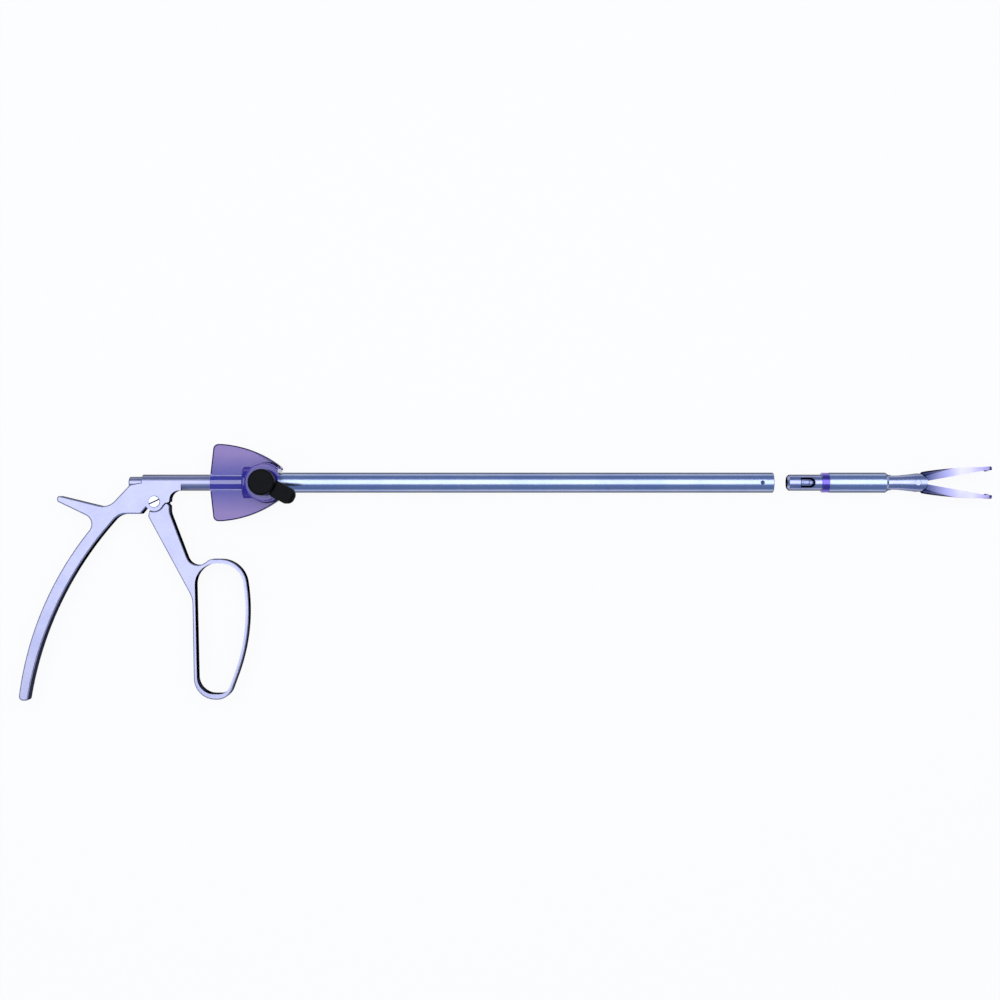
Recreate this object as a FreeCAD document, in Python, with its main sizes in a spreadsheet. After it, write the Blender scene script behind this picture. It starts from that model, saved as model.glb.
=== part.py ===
"""Laparoscopic clip applier, drawn with its detachable tip pulled out of the shaft.

Frame: X runs along the shaft towards the jaws, Y towards the top of the handle and
Z square to the handle plate. The origin lies on the shaft axis, level with the front
face of the rotation knob. Lengths are in millimetres and angles in degrees.
"""

import FreeCAD
import Part
import Sketcher
import math
import os

SIZES = {
    # Shaft tube and its latch hole
    "tube_od": 10.0,
    "tube_bore": 8.12,
    "tube_end": 244.5,
    "tube_rear": -11.0,
    "tube_seat_od": 9.2,
    "tube_shoulder": -0.6,
    "latch_hole_dia": 2.1,
    "latch_setback": 5.95,
    # Push rod inside the shaft
    "rod_dia": 4.0,
    "rod_fit": 0.05,
    "touch_gap": 0.05,
    "guide_width": 8.0,
    # Handle casting
    "plate_thickness": 8.0,
    "barrel_od": 8.0,
    "barrel_rear": -70.5,
    "barrel_front": -36.3,
    "stub_od": 5.8,
    "stub_length": 5.2,
    "stub_bore": 3.6,
    "plug_head_length": 1.5,
    "plug_clearance": 0.1,
    "plate_front": -56.6,
    "throat_round": 4.8,
    "plate_toe": -11.2,
    "plate_underside": -15.6,
    "lobe_radius": 4.6,
    "spur_tip": -112.5,
    "spur_tip_top": -6.4,
    "spur_tip_width": 3.0,
    "spur_root": -87.1,
    "spur_root_level": -12.6,
    "palm_front_radius": 176.5,
    "palm_rear_radius": 164.6,
    "palm_top": -20.5,
    "palm_top_x": -86.0,
    "palm_top_width": 11.5,
    "palm_top_step": 4.5,
    "palm_end": -108.6,
    "palm_end_x": -127.3,
    "palm_end_width": 4.5,
    "palm_front_round": 0.8,
    "palm_rear_round": 2.0,
    "casting_edge": 0.75,
    # Pivot of the finger lever
    "pivot_x": -64.1,
    "pivot_drop": 9.5,
    "screw_head_dia": 5.8,
    "screw_head_height": 1.2,
    "screw_head_proud": 0.5,
    "screw_shank_dia": 4.0,
    "screw_slot_width": 0.7,
    "screw_slot_depth": 0.5,
    "screw_slot_turn": 25.0,
    "pivot_fit": 0.05,
    # Finger lever
    "squeeze": 18.0,
    "lever_clearance": 0.3,
    "tongue_thickness": 3.8,
    "tongue_clearance": 0.15,
    "tongue_radius": 4.2,
    "arm_thickness": 2.0,
    "arm_width": 3.8,
    "lever_edge": 0.6,
    "shank_step": 3.7,
    "shank_bend_round": 7.0,
    "shank_rear_x": -67.1,
    "shank_rear_top": -16.9,
    "shank_rear_end": -57.6,
    "valley_x": -45.2,
    "valley_y": -44.7,
    "valley_round": 6.0,
    "crest_x": -36.4,
    "crest_round": 4.0,
    "loop_top": -38.1,
    "loop_bottom": -108.1,
    "loop_rear_top": -45.8,
    "loop_rear_round": 12.5,
    "loop_shoulder_x": -19.8,
    "loop_shoulder_round": 13.5,
    "loop_bulge_x": -14.7,
    "loop_bulge_y": -73.9,
    "loop_bulge_round": 92.8,
    "loop_toe_x": -27.2,
    "loop_toe_round": 8.0,
    "loop_heel_x": -44.2,
    "loop_heel_round": 10.8,
    "band_top": 2.1,
    "band_front": 1.5,
    "band_bottom": 2.7,
    "band_rear": 1.6,
    # Drive block that the lever arm moves in the barrel
    "block_dia": 5.6,
    "block_fit": 0.1,
    "block_half_length": 3.2,
    "block_socket": 2.4,
    "link_pin_dia": 2.0,
    "link_fit": 0.05,
    # Spigot on which the shaft turns
    "spigot_od": 5.9,
    "spigot_end": -13.0,
    "core_fit": 0.05,
    "core_od": 7.4,
    "core_flange_dia": 12.0,
    "core_flange_length": 8.0,
    "core_nose_length": 8.0,
    "core_shoulder": -15.5,
    "ring_thickness": 0.8,
    "ring_depth": 0.6,
    "cavity_dia": 7.4,
    "seal_width": 1.4,
    "seal_dia": 5.4,
    "seal_x": -40.0,
    # Rotation knob
    "knob_rear": -36.0,
    "knob_front": -1.3,
    "wing_reach": 19.3,
    "wing_root_thickness": 6.4,
    "wing_tip_thickness": 3.2,
    "hub_dia": 8.8,
    "wing_nose": 9.4,
    "nose_dia": 16.4,
    "nose_start": -20.2,
    "turret_dia": 19.4,
    "turret_top": 13.0,
    "port_x": -8.3,
    # Flush port, its cap and strap
    "port_od": 5.6,
    "port_bore": 4.2,
    "port_top": 19.0,
    "port_flange_dia": 9.0,
    "port_flange_height": 1.5,
    "cap_dia": 13.0,
    "cap_height": 7.0,
    "cap_fit": 0.1,
    "cap_plug_dia": 3.9,
    "cap_plug_length": 4.0,
    "cap_crown": 1.2,
    "strap_width": 8.0,
    "strap_thickness": 1.3,
    "strap_reach": 17.8,
    "strap_swing": -28.0,
    "strap_height": 4.0,
    # Detachable tip
    "tip_travel": 24.0,
    "plug_od": 8.0,
    "plug_length": 17.25,
    "plug_chamfer": 1.0,
    "plug_bore": 5.2,
    "color_ring_width": 3.6,
    "sleeve_chamfer": 1.1,
    "fork_neck_dia": 7.7,
    "fork_start": 33.0,
    "fork_dia": 9.6,
    "fork_slot": 3.1,
    "pin_x": 47.5,
    "slot_depth": 13.0,
    "guide_bore": 2.8,
    "guide_start": 8.0,
    "guide_end": 11.0,
    # Latch tongue cut out of the plug wall
    "tongue_root": 10.75,
    "tongue_width": 3.1,
    "tongue_wall": 1.0,
    "tongue_slit": 0.95,
    "tongue_hinge_height": 2.55,
    "button_dia": 2.0,
    "button_proud": 0.85,
    "latch_press": 12.0,
    # Jaws
    "jaw_open": 9.0,
    "jaw_length": 38.0,
    "jaw_pin_dia": 3.0,
    "jaw_pin_fit": 0.03,
    "jaw_lap": 1.45,
    "jaw_back_radius": 5.1,
    "jaw_round": 4.9,
    "jaw_root_height": 4.9,
    "jaw_tip_height": 2.25,
    "jaw_inner_root": 0.1,
    "jaw_inner_tip": 0.75,
    "jaw_tip_width": 5.0,
    "jaw_taper_end": 18.5,
    "hook_length": 3.2,
    "hook_notch": 0.9,
    "clip_groove_width": 2.2,
    "clip_groove_depth": 0.6,
    "tail_reach": 8.0,
    # Pusher inside the tip
    "cam_pin_dia": 1.6,
    "cam_fit": 0.05,
    "pusher_dia": 5.0,
    "pusher_stem_dia": 2.6,
    "pusher_head_length": 1.3,
    "pusher_inset": 2.0,
    "pusher_fork_length": 12.0,
    "head_slot_depth": 5.5,
    "collar_x": -3.9,
}


class Size:
    """A value together with the sheet formula that gives it."""

    def __init__(self, value, formula):
        self.value = value
        self.formula = formula

    def __add__(self, other):
        return join(self, "+", other)

    def __radd__(self, other):
        return join(other, "+", self)

    def __sub__(self, other):
        return join(self, "-", other)

    def __rsub__(self, other):
        return join(other, "-", self)

    def __mul__(self, other):
        return join(self, "*", other)

    def __rmul__(self, other):
        return join(other, "*", self)

    def __truediv__(self, other):
        return join(self, "/", other)

    def __neg__(self):
        return join(0, "-", self)


def as_size(item):
    """Turn a plain number into a Size that reads the same in a formula."""
    return item if isinstance(item, Size) else Size(float(item), repr(item))


def join(left, sign, right):
    """Combine two sizes and keep both the value and the formula."""
    a, b = as_size(left), as_size(right)
    values = {"+": a.value + b.value, "-": a.value - b.value, "*": a.value * b.value}
    if sign == "/":
        values["/"] = a.value / b.value
    return Size(values[sign], f"({a.formula} {sign} {b.formula})")


def sine(angle):
    """Sine of an angle in degrees."""
    return Size(math.sin(math.radians(angle.value)), f"sin({angle.formula})")


def cosine(angle):
    """Cosine of an angle in degrees."""
    return Size(math.cos(math.radians(angle.value)), f"cos({angle.formula})")


def tangent(angle):
    """Tangent of an angle in degrees."""
    return Size(math.tan(math.radians(angle.value)), f"tan({angle.formula})")


def root(area):
    """Square root."""
    return Size(math.sqrt(area.value), f"sqrt({area.formula})")


def make_sheet(document):
    """Write the driving sizes into a spreadsheet and return them by name."""
    sheet = document.addObject("Spreadsheet::Sheet", "Dims")
    sizes = {}
    for row, (alias, value) in enumerate(SIZES.items(), start=1):
        sheet.set(f"A{row}", alias)
        sheet.set(f"B{row}", str(value))
        sheet.setAlias(f"B{row}", alias)
        sizes[alias] = Size(value, f"Dims.{alias}")
    document.recompute()
    return type("Dims", (), sizes)


doc = FreeCAD.newDocument("clip_applier")
d = make_sheet(doc)

# Sizes that follow from the driving ones
tube_r = d.tube_od / 2
bore_r = d.tube_bore / 2
tube_seat_r = d.tube_seat_od / 2
half_plate = d.plate_thickness / 2
barrel_r = d.barrel_od / 2
pivot_y = -d.pivot_drop
half_squeeze = d.squeeze / 2
rod_r = d.rod_dia / 2
rod_bore_r = rod_r + d.rod_fit
stroke = 2 * d.pivot_drop * tangent(half_squeeze)
link_rest_x = d.pivot_x - stroke / 2
block_r = d.block_dia / 2
block_bore_r = block_r + d.block_fit
slot_half = d.tongue_thickness / 2 + d.tongue_clearance
shoulder_r = d.lobe_radius + d.lever_clearance
plug_r = d.plug_od / 2
plug_bore_r = d.plug_bore / 2
tip_shoulder = d.tube_end + d.tip_travel
latch_hole_x = d.tube_end - d.latch_setback
fork_half_slot = d.fork_slot / 2
spigot_r = d.spigot_od / 2
core_r = d.core_od / 2
ring_groove_end = d.core_shoulder + d.ring_thickness + 2 * d.core_fit
core_flange_x = d.tube_rear - d.core_flange_length
block_bore_start = link_rest_x - d.block_half_length - 0.6
block_bore_end = link_rest_x + stroke + d.block_half_length + d.block_socket + 0.6
screw_seat_r = d.screw_head_dia / 2 + 0.05
rod_end = d.tube_end - d.plug_length + d.pusher_inset - d.touch_gap
strap_top = d.turret_top + d.port_flange_height + d.strap_thickness


def bind(item, prop, size):
    """Drive a property of a document object from the sheet."""
    item.setExpression(prop, as_size(size).formula)


def place(item, x=0, y=0, z=0, axis=(0, 0, 1), turn=0):
    """Drive the Placement of a sub-part from the sheet."""
    spot = "; ".join(as_size(part).formula for part in (x, y, z))
    around = "; ".join(str(part) for part in axis)
    angle = as_size(turn).formula
    item.setExpression("Placement", f"placement(vector({spot}); rotation(vector({around}); {angle}))")


def make_body(label, **where):
    """Start a PartDesign body that becomes one node."""
    body = doc.addObject("PartDesign::Body", label)
    body.Label = label
    place(body, **where)
    return body


def origin_plane(body, role):
    """One of a body's own origin planes."""
    return next(item for item in body.Origin.OriginFeatures if item.Role == role)


def start_sketch(body, name, role, offset=0):
    """An empty sketch on an origin plane, moved along the plane's normal."""
    sketch = body.newObject("Sketcher::SketchObject", name)
    sketch.AttachmentSupport = [(origin_plane(body, role), "")]
    sketch.MapMode = "FlatFace"
    bind(sketch, ".AttachmentOffset.Base.z", offset)
    return sketch


class Pen:
    """Draws closed outlines and circles in a sketch, held by driven constraints."""

    def __init__(self, sketch):
        self.sketch = sketch
        self.constraints = []
        self.formulas = []

    def hold(self, kind, *where, size=None):
        """Queue one constraint, with its sheet formula where it has a size."""
        if size is None:
            self.constraints.append(Sketcher.Constraint(kind, *where))
        else:
            self.constraints.append(Sketcher.Constraint(kind, *where, size.value))
            self.formulas.append((len(self.constraints) - 1, size.formula))

    def fix(self, geometry, end, spot):
        """Hold a point of the geometry at a place given by two sizes."""
        self.hold("DistanceX", -1, 1, geometry, end, size=as_size(spot[0]))
        self.hold("DistanceY", -1, 1, geometry, end, size=as_size(spot[1]))

    def circle(self, x, y, radius):
        """A circle by centre and radius."""
        x, y, radius = as_size(x), as_size(y), as_size(radius)
        centre = FreeCAD.Vector(x.value, y.value, 0)
        ring = Part.Circle(centre, FreeCAD.Vector(0, 0, 1), radius.value)
        index = self.sketch.addGeometry(ring)
        self.fix(index, 3, (x, y))
        self.hold("Radius", index, size=radius)

    def outline(self, *corners):
        """A closed outline.

        A corner is (x, y) or, where it is rounded, (x, y, radius). An entry ("via", x, y)
        makes the edge that it stands on a circular arc through that point.
        """
        points = [item for item in corners if item[0] != "via"]
        via = {}
        for item in corners:
            if item[0] == "via":
                via[count - 1] = item[1:]
            else:
                count = points.index(item) + 1
        plans = [self.corner_plan(points, number) for number in range(len(points))]
        edges = [self.draw_edge(plans, via, number) for number in range(len(points))]
        for number, plan in enumerate(plans):
            self.join_corner(plan, edges[number - 1], edges[number])

    def corner_plan(self, points, number):
        """Where the edges leave a corner, and its round if it has one."""
        here = [as_size(part) for part in points[number]]
        spot = FreeCAD.Vector(here[0].value, here[1].value, 0)
        plan = {"spot": here[:2], "enter": spot, "leave": spot, "radius": None}
        if len(here) < 3:
            return plan
        before, after = (FreeCAD.Vector(*[as_size(part).value for part in points[step % len(points)][:2]], 0)
                         for step in (number - 1, number + 1))
        to_before, to_after = (before - spot).normalize(), (after - spot).normalize()
        half = to_before.getAngle(to_after) / 2
        run = here[2].value / math.tan(half)
        middle = spot + (to_before + to_after).normalize() * (here[2].value / math.sin(half))
        plan.update(enter=spot + to_before * run, leave=spot + to_after * run, radius=here[2],
                    centre=middle, left=(spot - before).cross(after - spot).z > 0)
        return plan

    def draw_edge(self, plans, via, number):
        """The straight or curved edge after a corner, as its index and its two ends."""
        start = plans[number]["leave"]
        finish = plans[(number + 1) % len(plans)]["enter"]
        if number not in via:
            return self.sketch.addGeometry(Part.LineSegment(start, finish)), 1, 2
        spot = [as_size(part) for part in via[number]]
        middle = FreeCAD.Vector(spot[0].value, spot[1].value, 0)
        arc = Part.Arc(start, middle, finish)
        index = self.sketch.addGeometry(arc)
        ends = (1, 2) if (middle - start).cross(finish - middle).z > 0 else (2, 1)
        mark = self.sketch.addGeometry(Part.Point(middle), True)
        self.fix(mark, 1, spot)
        self.hold("PointOnObject", mark, 1, index)
        return (index, *ends)

    def join_corner(self, plan, before, after):
        """Hold two edges together at a corner, sharp or with a tangent round."""
        if plan["radius"] is None:
            self.hold("Coincident", before[0], before[2], after[0], after[1])
            self.fix(after[0], after[1], plan["spot"])
            return
        start, finish = plan["enter"] - plan["centre"], plan["leave"] - plan["centre"]
        if not plan["left"]:
            start, finish = finish, start
        angles = math.atan2(start.y, start.x), math.atan2(finish.y, finish.x)
        ring = Part.Circle(plan["centre"], FreeCAD.Vector(0, 0, 1), plan["radius"].value)
        index = self.sketch.addGeometry(Part.ArcOfCircle(ring, *angles))
        first, last = (1, 2) if plan["left"] else (2, 1)
        self.hold("Tangent", before[0], before[2], index, first)
        self.hold("Tangent", index, last, after[0], after[1])
        self.hold("Radius", index, size=plan["radius"])
        mark = self.sketch.addGeometry(Part.Point(FreeCAD.Vector(*[part.value for part in plan["spot"]], 0)), True)
        self.fix(mark, 1, plan["spot"])
        self.hold("PointOnObject", mark, 1, before[0])
        self.hold("PointOnObject", mark, 1, after[0])

    def done(self):
        """Hand the constraints and their formulas to the sketch."""
        self.sketch.addConstraint(self.constraints)
        for number, formula in self.formulas:
            self.sketch.setExpression(f"Constraints[{number}]", formula)
        return self.sketch


def draw(body, name, role, *corners, offset=0):
    """A sketch with one closed outline."""
    pen = Pen(start_sketch(body, name, role, offset))
    pen.outline(*corners)
    return pen.done()


def draw_circles(body, name, role, *rings, offset=0):
    """A sketch with circles given as (x, y, radius)."""
    pen = Pen(start_sketch(body, name, role, offset))
    for ring in rings:
        pen.circle(*ring)
    return pen.done()


def feature(body, kind, name, sketch, **settings):
    """A sketch-based feature with its settings."""
    item = body.newObject(f"PartDesign::{kind}", name)
    item.Profile = sketch
    for key, value in settings.items():
        setattr(item, key, value)
    sketch.Visibility = False
    return item


def pad(body, name, sketch, length, midplane=True, backwards=False):
    """Add a straight extrusion."""
    item = feature(body, "Pad", name, sketch, Midplane=midplane, Reversed=backwards)
    bind(item, "Length", length)
    doc.recompute()
    return item


def cut(body, name, sketch, length, midplane=True, backwards=False):
    """Remove a straight extrusion and make sure that it removed something."""
    before = body.Shape.Volume
    item = feature(body, "Pocket", name, sketch, Midplane=midplane, Reversed=backwards)
    bind(item, "Length", length)
    doc.recompute()
    if not item.Shape.Volume < before:
        raise ValueError(f"{body.Label}: {name} removes nothing")
    return item


def turn(body, name, sketch, kind="Revolution", axis="H_Axis"):
    """Add or remove a full revolution about a sketch axis."""
    before = body.Shape.Volume if kind == "Groove" else None
    item = feature(body, kind, name, sketch, ReferenceAxis=(sketch, [axis]))
    item.Angle = 360
    doc.recompute()
    if before is not None and not item.Shape.Volume < before:
        raise ValueError(f"{body.Label}: {name} removes nothing")
    return item


def edges_where(shape, test):
    """Names of the edges whose middle passes a test."""
    names = []
    for number, edge in enumerate(shape.Edges, start=1):
        middle = edge.valueAt((edge.FirstParameter + edge.LastParameter) / 2)
        if test(edge, middle):
            names.append(f"Edge{number}")
    return names


def soften(body, name, base, test, size, kind="Fillet"):
    """Round or chamfer the edges of a feature that pass a test."""
    item = body.newObject(f"PartDesign::{kind}", name)
    item.Base = (base, edges_where(base.Shape, test))
    bind(item, "Radius" if kind == "Fillet" else "Size", size)
    doc.recompute()
    return item


def bow(start, finish, radius):
    """The middle of an arc with a radius that stands above a line, to the line's left."""
    across, up = finish[0] - start[0], finish[1] - start[1]
    chord = root(across * across + up * up)
    rise = radius - root(radius * radius - chord * chord / 4)
    return (start[0] + across / 2 - up / chord * rise, start[1] + up / 2 + across / chord * rise)


def inset(corners, walls):
    """The corners of a clockwise outline moved inwards, with one wall for each edge."""
    count = len(corners)
    runs = []
    for number, corner in enumerate(corners):
        ahead = corners[(number + 1) % count]
        across, up = ahead[0] - corner[0], ahead[1] - corner[1]
        length = root(across * across + up * up)
        runs.append((across / length, up / length))
    moved = []
    for number, (x, y, radius) in enumerate(corners):
        before, after = runs[number - 1], runs[number]
        bend = before[0] * after[1] - before[1] * after[0]
        wall_before, wall_after = walls[number - 1], walls[number]
        moved.append((
            x + (wall_after * before[0] - wall_before * after[0]) / bend,
            y + (wall_after * before[1] - wall_before * after[1]) / bend,
            radius - (wall_before + wall_after) / 2,
        ))
    return moved


def around_pivot(radius, angle):
    """A point at a radius and angle from the lever's pivot."""
    angle = as_size(angle)
    return d.pivot_x + radius * cosine(angle), pivot_y + radius * sine(angle)


def turned(body, name, *corners, kind="Revolution"):
    """A revolution about the body's X axis of an outline in the XY plane."""
    return turn(body, name, draw(body, name + "Profile", "XY_Plane", *corners), kind)


def make_handle():
    """Handle casting: barrel, plate, thumb spur and palm lever, with the lever's slot."""
    body = make_body("handle_body")
    front_top = (d.palm_top_x, d.palm_top)
    front_end = (d.palm_end_x, d.palm_end)
    rear_top = (d.palm_top_x - d.palm_top_width, d.palm_top - d.palm_top_step)
    rear_end = (d.palm_end_x - d.palm_end_width, d.palm_end)
    front_tangent = (front_end[0] + d.palm_front_round / 3, front_end[1] + 1.5 * d.palm_front_round)
    rear_tangent = (rear_end[0] + d.palm_rear_round / 4, rear_end[1] + 2 * d.palm_rear_round)
    spur_low = d.spur_tip_top - d.spur_tip_width
    plate = draw(
        body, "PlateOutline", "XY_Plane",
        (d.plate_front + 1.2 * d.throat_round, -barrel_r + 0.1),
        (d.plate_front, -barrel_r + 0.1, d.throat_round),
        (d.plate_front, d.plate_toe, 0.8),
        (d.pivot_x + 6, pivot_y + 0.1, 1),
        around_pivot(d.lobe_radius, -24),
        ("via", *around_pivot(d.lobe_radius, -76)),
        around_pivot(d.lobe_radius, -146),
        (d.pivot_x - 5.3, pivot_y - 4.3, 0.5),
        (d.pivot_x - 6.8, d.plate_underside, 1),
        (d.pivot_x - 17.6, d.plate_underside, 8),
        front_top,
        ("via", *bow(front_tangent, front_top, d.palm_front_radius)),
        front_tangent,
        (*front_end, d.palm_front_round),
        (*rear_end, d.palm_rear_round),
        rear_tangent,
        ("via", *bow(rear_tangent, rear_top, d.palm_rear_radius)),
        rear_top,
        (d.spur_root - 5.4, d.spur_root_level - 6.4, 5),
        (d.spur_tip, spur_low, 1.1),
        (d.spur_tip, d.spur_tip_top, 1.1),
        (d.spur_root, d.spur_root_level, 8),
        (d.barrel_rear - 5.7, -1.0, 3),
        (d.barrel_rear, 0),
        (d.plate_front + 1.2 * d.throat_round, 0),
    )
    slab = pad(body, "Plate", plate, d.plate_thickness)
    soften(body, "CastingEdges", slab, lambda edge, middle: middle.x < d.pivot_x.value - 8
           and is_rim(edge, middle, half_plate.value, -4.2), d.casting_edge)
    turned(
        body, "Barrel",
        (d.barrel_rear - d.stub_length, 0),
        (d.barrel_rear - d.stub_length, d.stub_od / 2),
        (d.barrel_rear, d.stub_od / 2),
        (d.barrel_rear, barrel_r, 0.4),
        (d.barrel_front, barrel_r),
        (d.barrel_front, spigot_r),
        (d.core_shoulder, spigot_r),
        (d.core_shoulder, spigot_r - d.ring_depth),
        (ring_groove_end, spigot_r - d.ring_depth),
        (ring_groove_end, spigot_r),
        (d.spigot_end, spigot_r),
        (d.spigot_end, 0),
    )
    return body


def is_rim(edge, middle, height, below):
    """True for an edge that lies in an outer face of a plate, under a given level."""
    flat = abs(edge.BoundBox.ZMax - edge.BoundBox.ZMin) < 1e-6
    return flat and abs(abs(middle.z) - height) < 1e-6 and middle.y < below


def finish_handle(body):
    """Bores, lever slot and screw seat of the handle casting."""
    stub_end = d.barrel_rear - d.stub_length
    plug_seat_end = stub_end - d.plug_head_length - d.plug_clearance
    plug_seat_r = d.stub_od / 2 + d.plug_clearance
    seal_r = d.seal_dia / 2
    turned(
        body, "Bores",
        (plug_seat_end, 0),
        (plug_seat_end, plug_seat_r),
        (stub_end, plug_seat_r),
        (stub_end, d.stub_bore / 2),
        (block_bore_start, d.stub_bore / 2),
        (block_bore_start, block_bore_r),
        (block_bore_end, block_bore_r),
        (block_bore_end, rod_bore_r),
        (d.seal_x - d.seal_width / 2, rod_bore_r),
        (d.seal_x - d.seal_width / 2, seal_r),
        (d.seal_x + d.seal_width / 2, seal_r),
        (d.seal_x + d.seal_width / 2, rod_bore_r),
        (d.spigot_end + 1, rod_bore_r),
        (d.spigot_end + 1, 0),
        kind="Groove",
    )
    slot = draw(
        body, "LeverSlotOutline", "XY_Plane",
        (d.pivot_x - shoulder_r - 0.2, d.plate_underside - 2),
        (d.pivot_x + shoulder_r - 0.2, d.plate_underside - 2),
        (d.pivot_x + shoulder_r - 0.2, 0),
        (d.pivot_x - shoulder_r - 0.2, 0),
    )
    cut(body, "LeverSlot", slot, 2 * slot_half)
    hole = draw_circles(body, "ScrewHoleRing", "XY_Plane", (d.pivot_x, pivot_y, d.screw_shank_dia / 2))
    cut(body, "ScrewHole", hole, d.plate_thickness + 2)
    seat = draw_circles(body, "ScrewSeatRing", "XY_Plane", (d.pivot_x, pivot_y, screw_seat_r), offset=half_plate)
    cut(body, "ScrewSeat", seat, d.screw_head_height - d.screw_head_proud, midplane=False)
    return body


def make_rear_plug():
    """Domed plug that closes the rear of the barrel."""
    body = make_body("rear_plug", x=d.barrel_rear - d.stub_length)
    turned(
        body, "Plug",
        (-d.plug_head_length, 0),
        (-d.plug_head_length, d.stub_od / 2, 0.8),
        (0, d.stub_od / 2),
        (0, d.stub_bore / 2),
        (d.stub_length - 0.4, d.stub_bore / 2),
        (d.stub_length - 0.4, 0),
    )
    return body


def make_pivot_screw():
    """Slotted screw on which the finger lever turns, seated in the front cheek."""
    body = make_body("pivot_screw", x=d.pivot_x, y=pivot_y, z=half_plate + d.screw_head_proud,
                     turn=d.screw_slot_turn)
    head_r, shank_r = d.screw_head_dia / 2, d.screw_shank_dia / 2
    profile = draw(
        body, "ScrewProfile", "XZ_Plane",
        (0, 0),
        (head_r, 0, 0.3),
        (head_r, -d.screw_head_height),
        (shank_r, -d.screw_head_height),
        (shank_r, -d.screw_head_proud - d.plate_thickness + 0.2),
        (0, -d.screw_head_proud - d.plate_thickness + 0.2),
    )
    turn(body, "Screw", profile, axis="V_Axis")
    slot = draw(
        body, "DriverSlotOutline", "XY_Plane",
        (-head_r - 1, -d.screw_slot_width / 2),
        (head_r + 1, -d.screw_slot_width / 2),
        (head_r + 1, d.screw_slot_width / 2),
        (-head_r - 1, d.screw_slot_width / 2),
    )
    cut(body, "DriverSlot", slot, d.screw_slot_depth, midplane=False)
    return body


def arm_point(along, across):
    """A point on the lever's arm, which leans back by half the squeeze at rest."""
    lean = 90 + half_squeeze
    return (d.pivot_x + along * cosine(lean) + across * sine(lean),
            pivot_y + along * sine(lean) - across * cosine(lean))


def make_finger_lever():
    """Finger lever: slim loop, tapered shank, tongue in the handle slot and forked arm."""
    body = make_body("finger_lever")
    lower_rear = (d.shank_rear_x, d.shank_rear_top)
    front_line = (d.plate_front, d.plate_toe - d.lever_clearance)
    loop = [
        (d.loop_rear_top, d.loop_top, d.loop_rear_round),
        (d.loop_shoulder_x, d.loop_top, d.loop_shoulder_round),
        (d.loop_bulge_x, d.loop_bulge_y, d.loop_bulge_round),
        (d.loop_toe_x, d.loop_bottom, d.loop_toe_round),
        (d.loop_heel_x, d.loop_bottom, d.loop_heel_round),
    ]
    bands = [d.band_top, d.band_front, d.band_front, d.band_bottom, d.band_rear]
    outline = draw(
        body, "LeverOutline", "XY_Plane",
        (*front_line, 0.9),
        (d.plate_front, d.plate_toe - d.shank_step, d.shank_bend_round),
        (d.valley_x, d.valley_y, d.valley_round),
        (d.crest_x, d.loop_top, d.crest_round),
        *loop[1:],
        (d.loop_heel_x - 0.9, d.shank_rear_end, 12),
        (*lower_rear, 1.5),
        around_pivot(shoulder_r + 0.1, -119),
        ("via", *around_pivot(shoulder_r, -70)),
        around_pivot(shoulder_r, -24),
        (d.pivot_x + 6, pivot_y - 0.4, 0.8),
    )
    blank = pad(body, "Lever", outline, d.plate_thickness)
    soften(body, "LeverEdges", blank,
           lambda edge, middle: is_rim(edge, middle, half_plate.value, 0), d.lever_edge)
    window = draw(body, "LoopWindowOutline", "XY_Plane", *inset(loop, bands))
    cut(body, "LoopWindow", window, d.plate_thickness + 2)
    web = draw(
        body, "WebOutline", "XY_Plane",
        around_pivot(d.tongue_radius - 0.1, -125),
        (d.pivot_x - 2.6, pivot_y - 7.4),
        (d.pivot_x + 3.0, pivot_y - 8.5),
        around_pivot(d.tongue_radius - 0.1, -45),
    )
    pad(body, "Web", web, d.tongue_thickness)
    pad(body, "Tongue", draw_circles(body, "TongueRing", "XY_Plane", (d.pivot_x, pivot_y, d.tongue_radius)),
        d.tongue_thickness)
    half_arm = d.arm_width / 2
    top = d.pivot_drop + d.link_pin_dia
    arm = draw(
        body, "ArmOutline", "XY_Plane",
        arm_point(as_size(0), -half_arm),
        arm_point(as_size(0), half_arm),
        arm_point(top, half_arm),
        arm_point(top, -half_arm),
    )
    pad(body, "Arm", arm, d.arm_thickness)
    hole = draw_circles(body, "PivotHoleRing", "XY_Plane",
                        (d.pivot_x, pivot_y, d.screw_shank_dia / 2 + d.pivot_fit))
    cut(body, "PivotHole", hole, d.plate_thickness)
    half_fork = d.link_pin_dia / 2 + d.link_fit
    fork = draw(
        body, "ArmForkOutline", "XY_Plane",
        arm_point(d.pivot_drop - half_fork - 0.1, -half_fork),
        arm_point(d.pivot_drop - half_fork - 0.1, half_fork),
        arm_point(top + 1, half_fork),
        arm_point(top + 1, -half_fork),
    )
    cut(body, "ArmFork", fork, d.plate_thickness)
    return body


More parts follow.
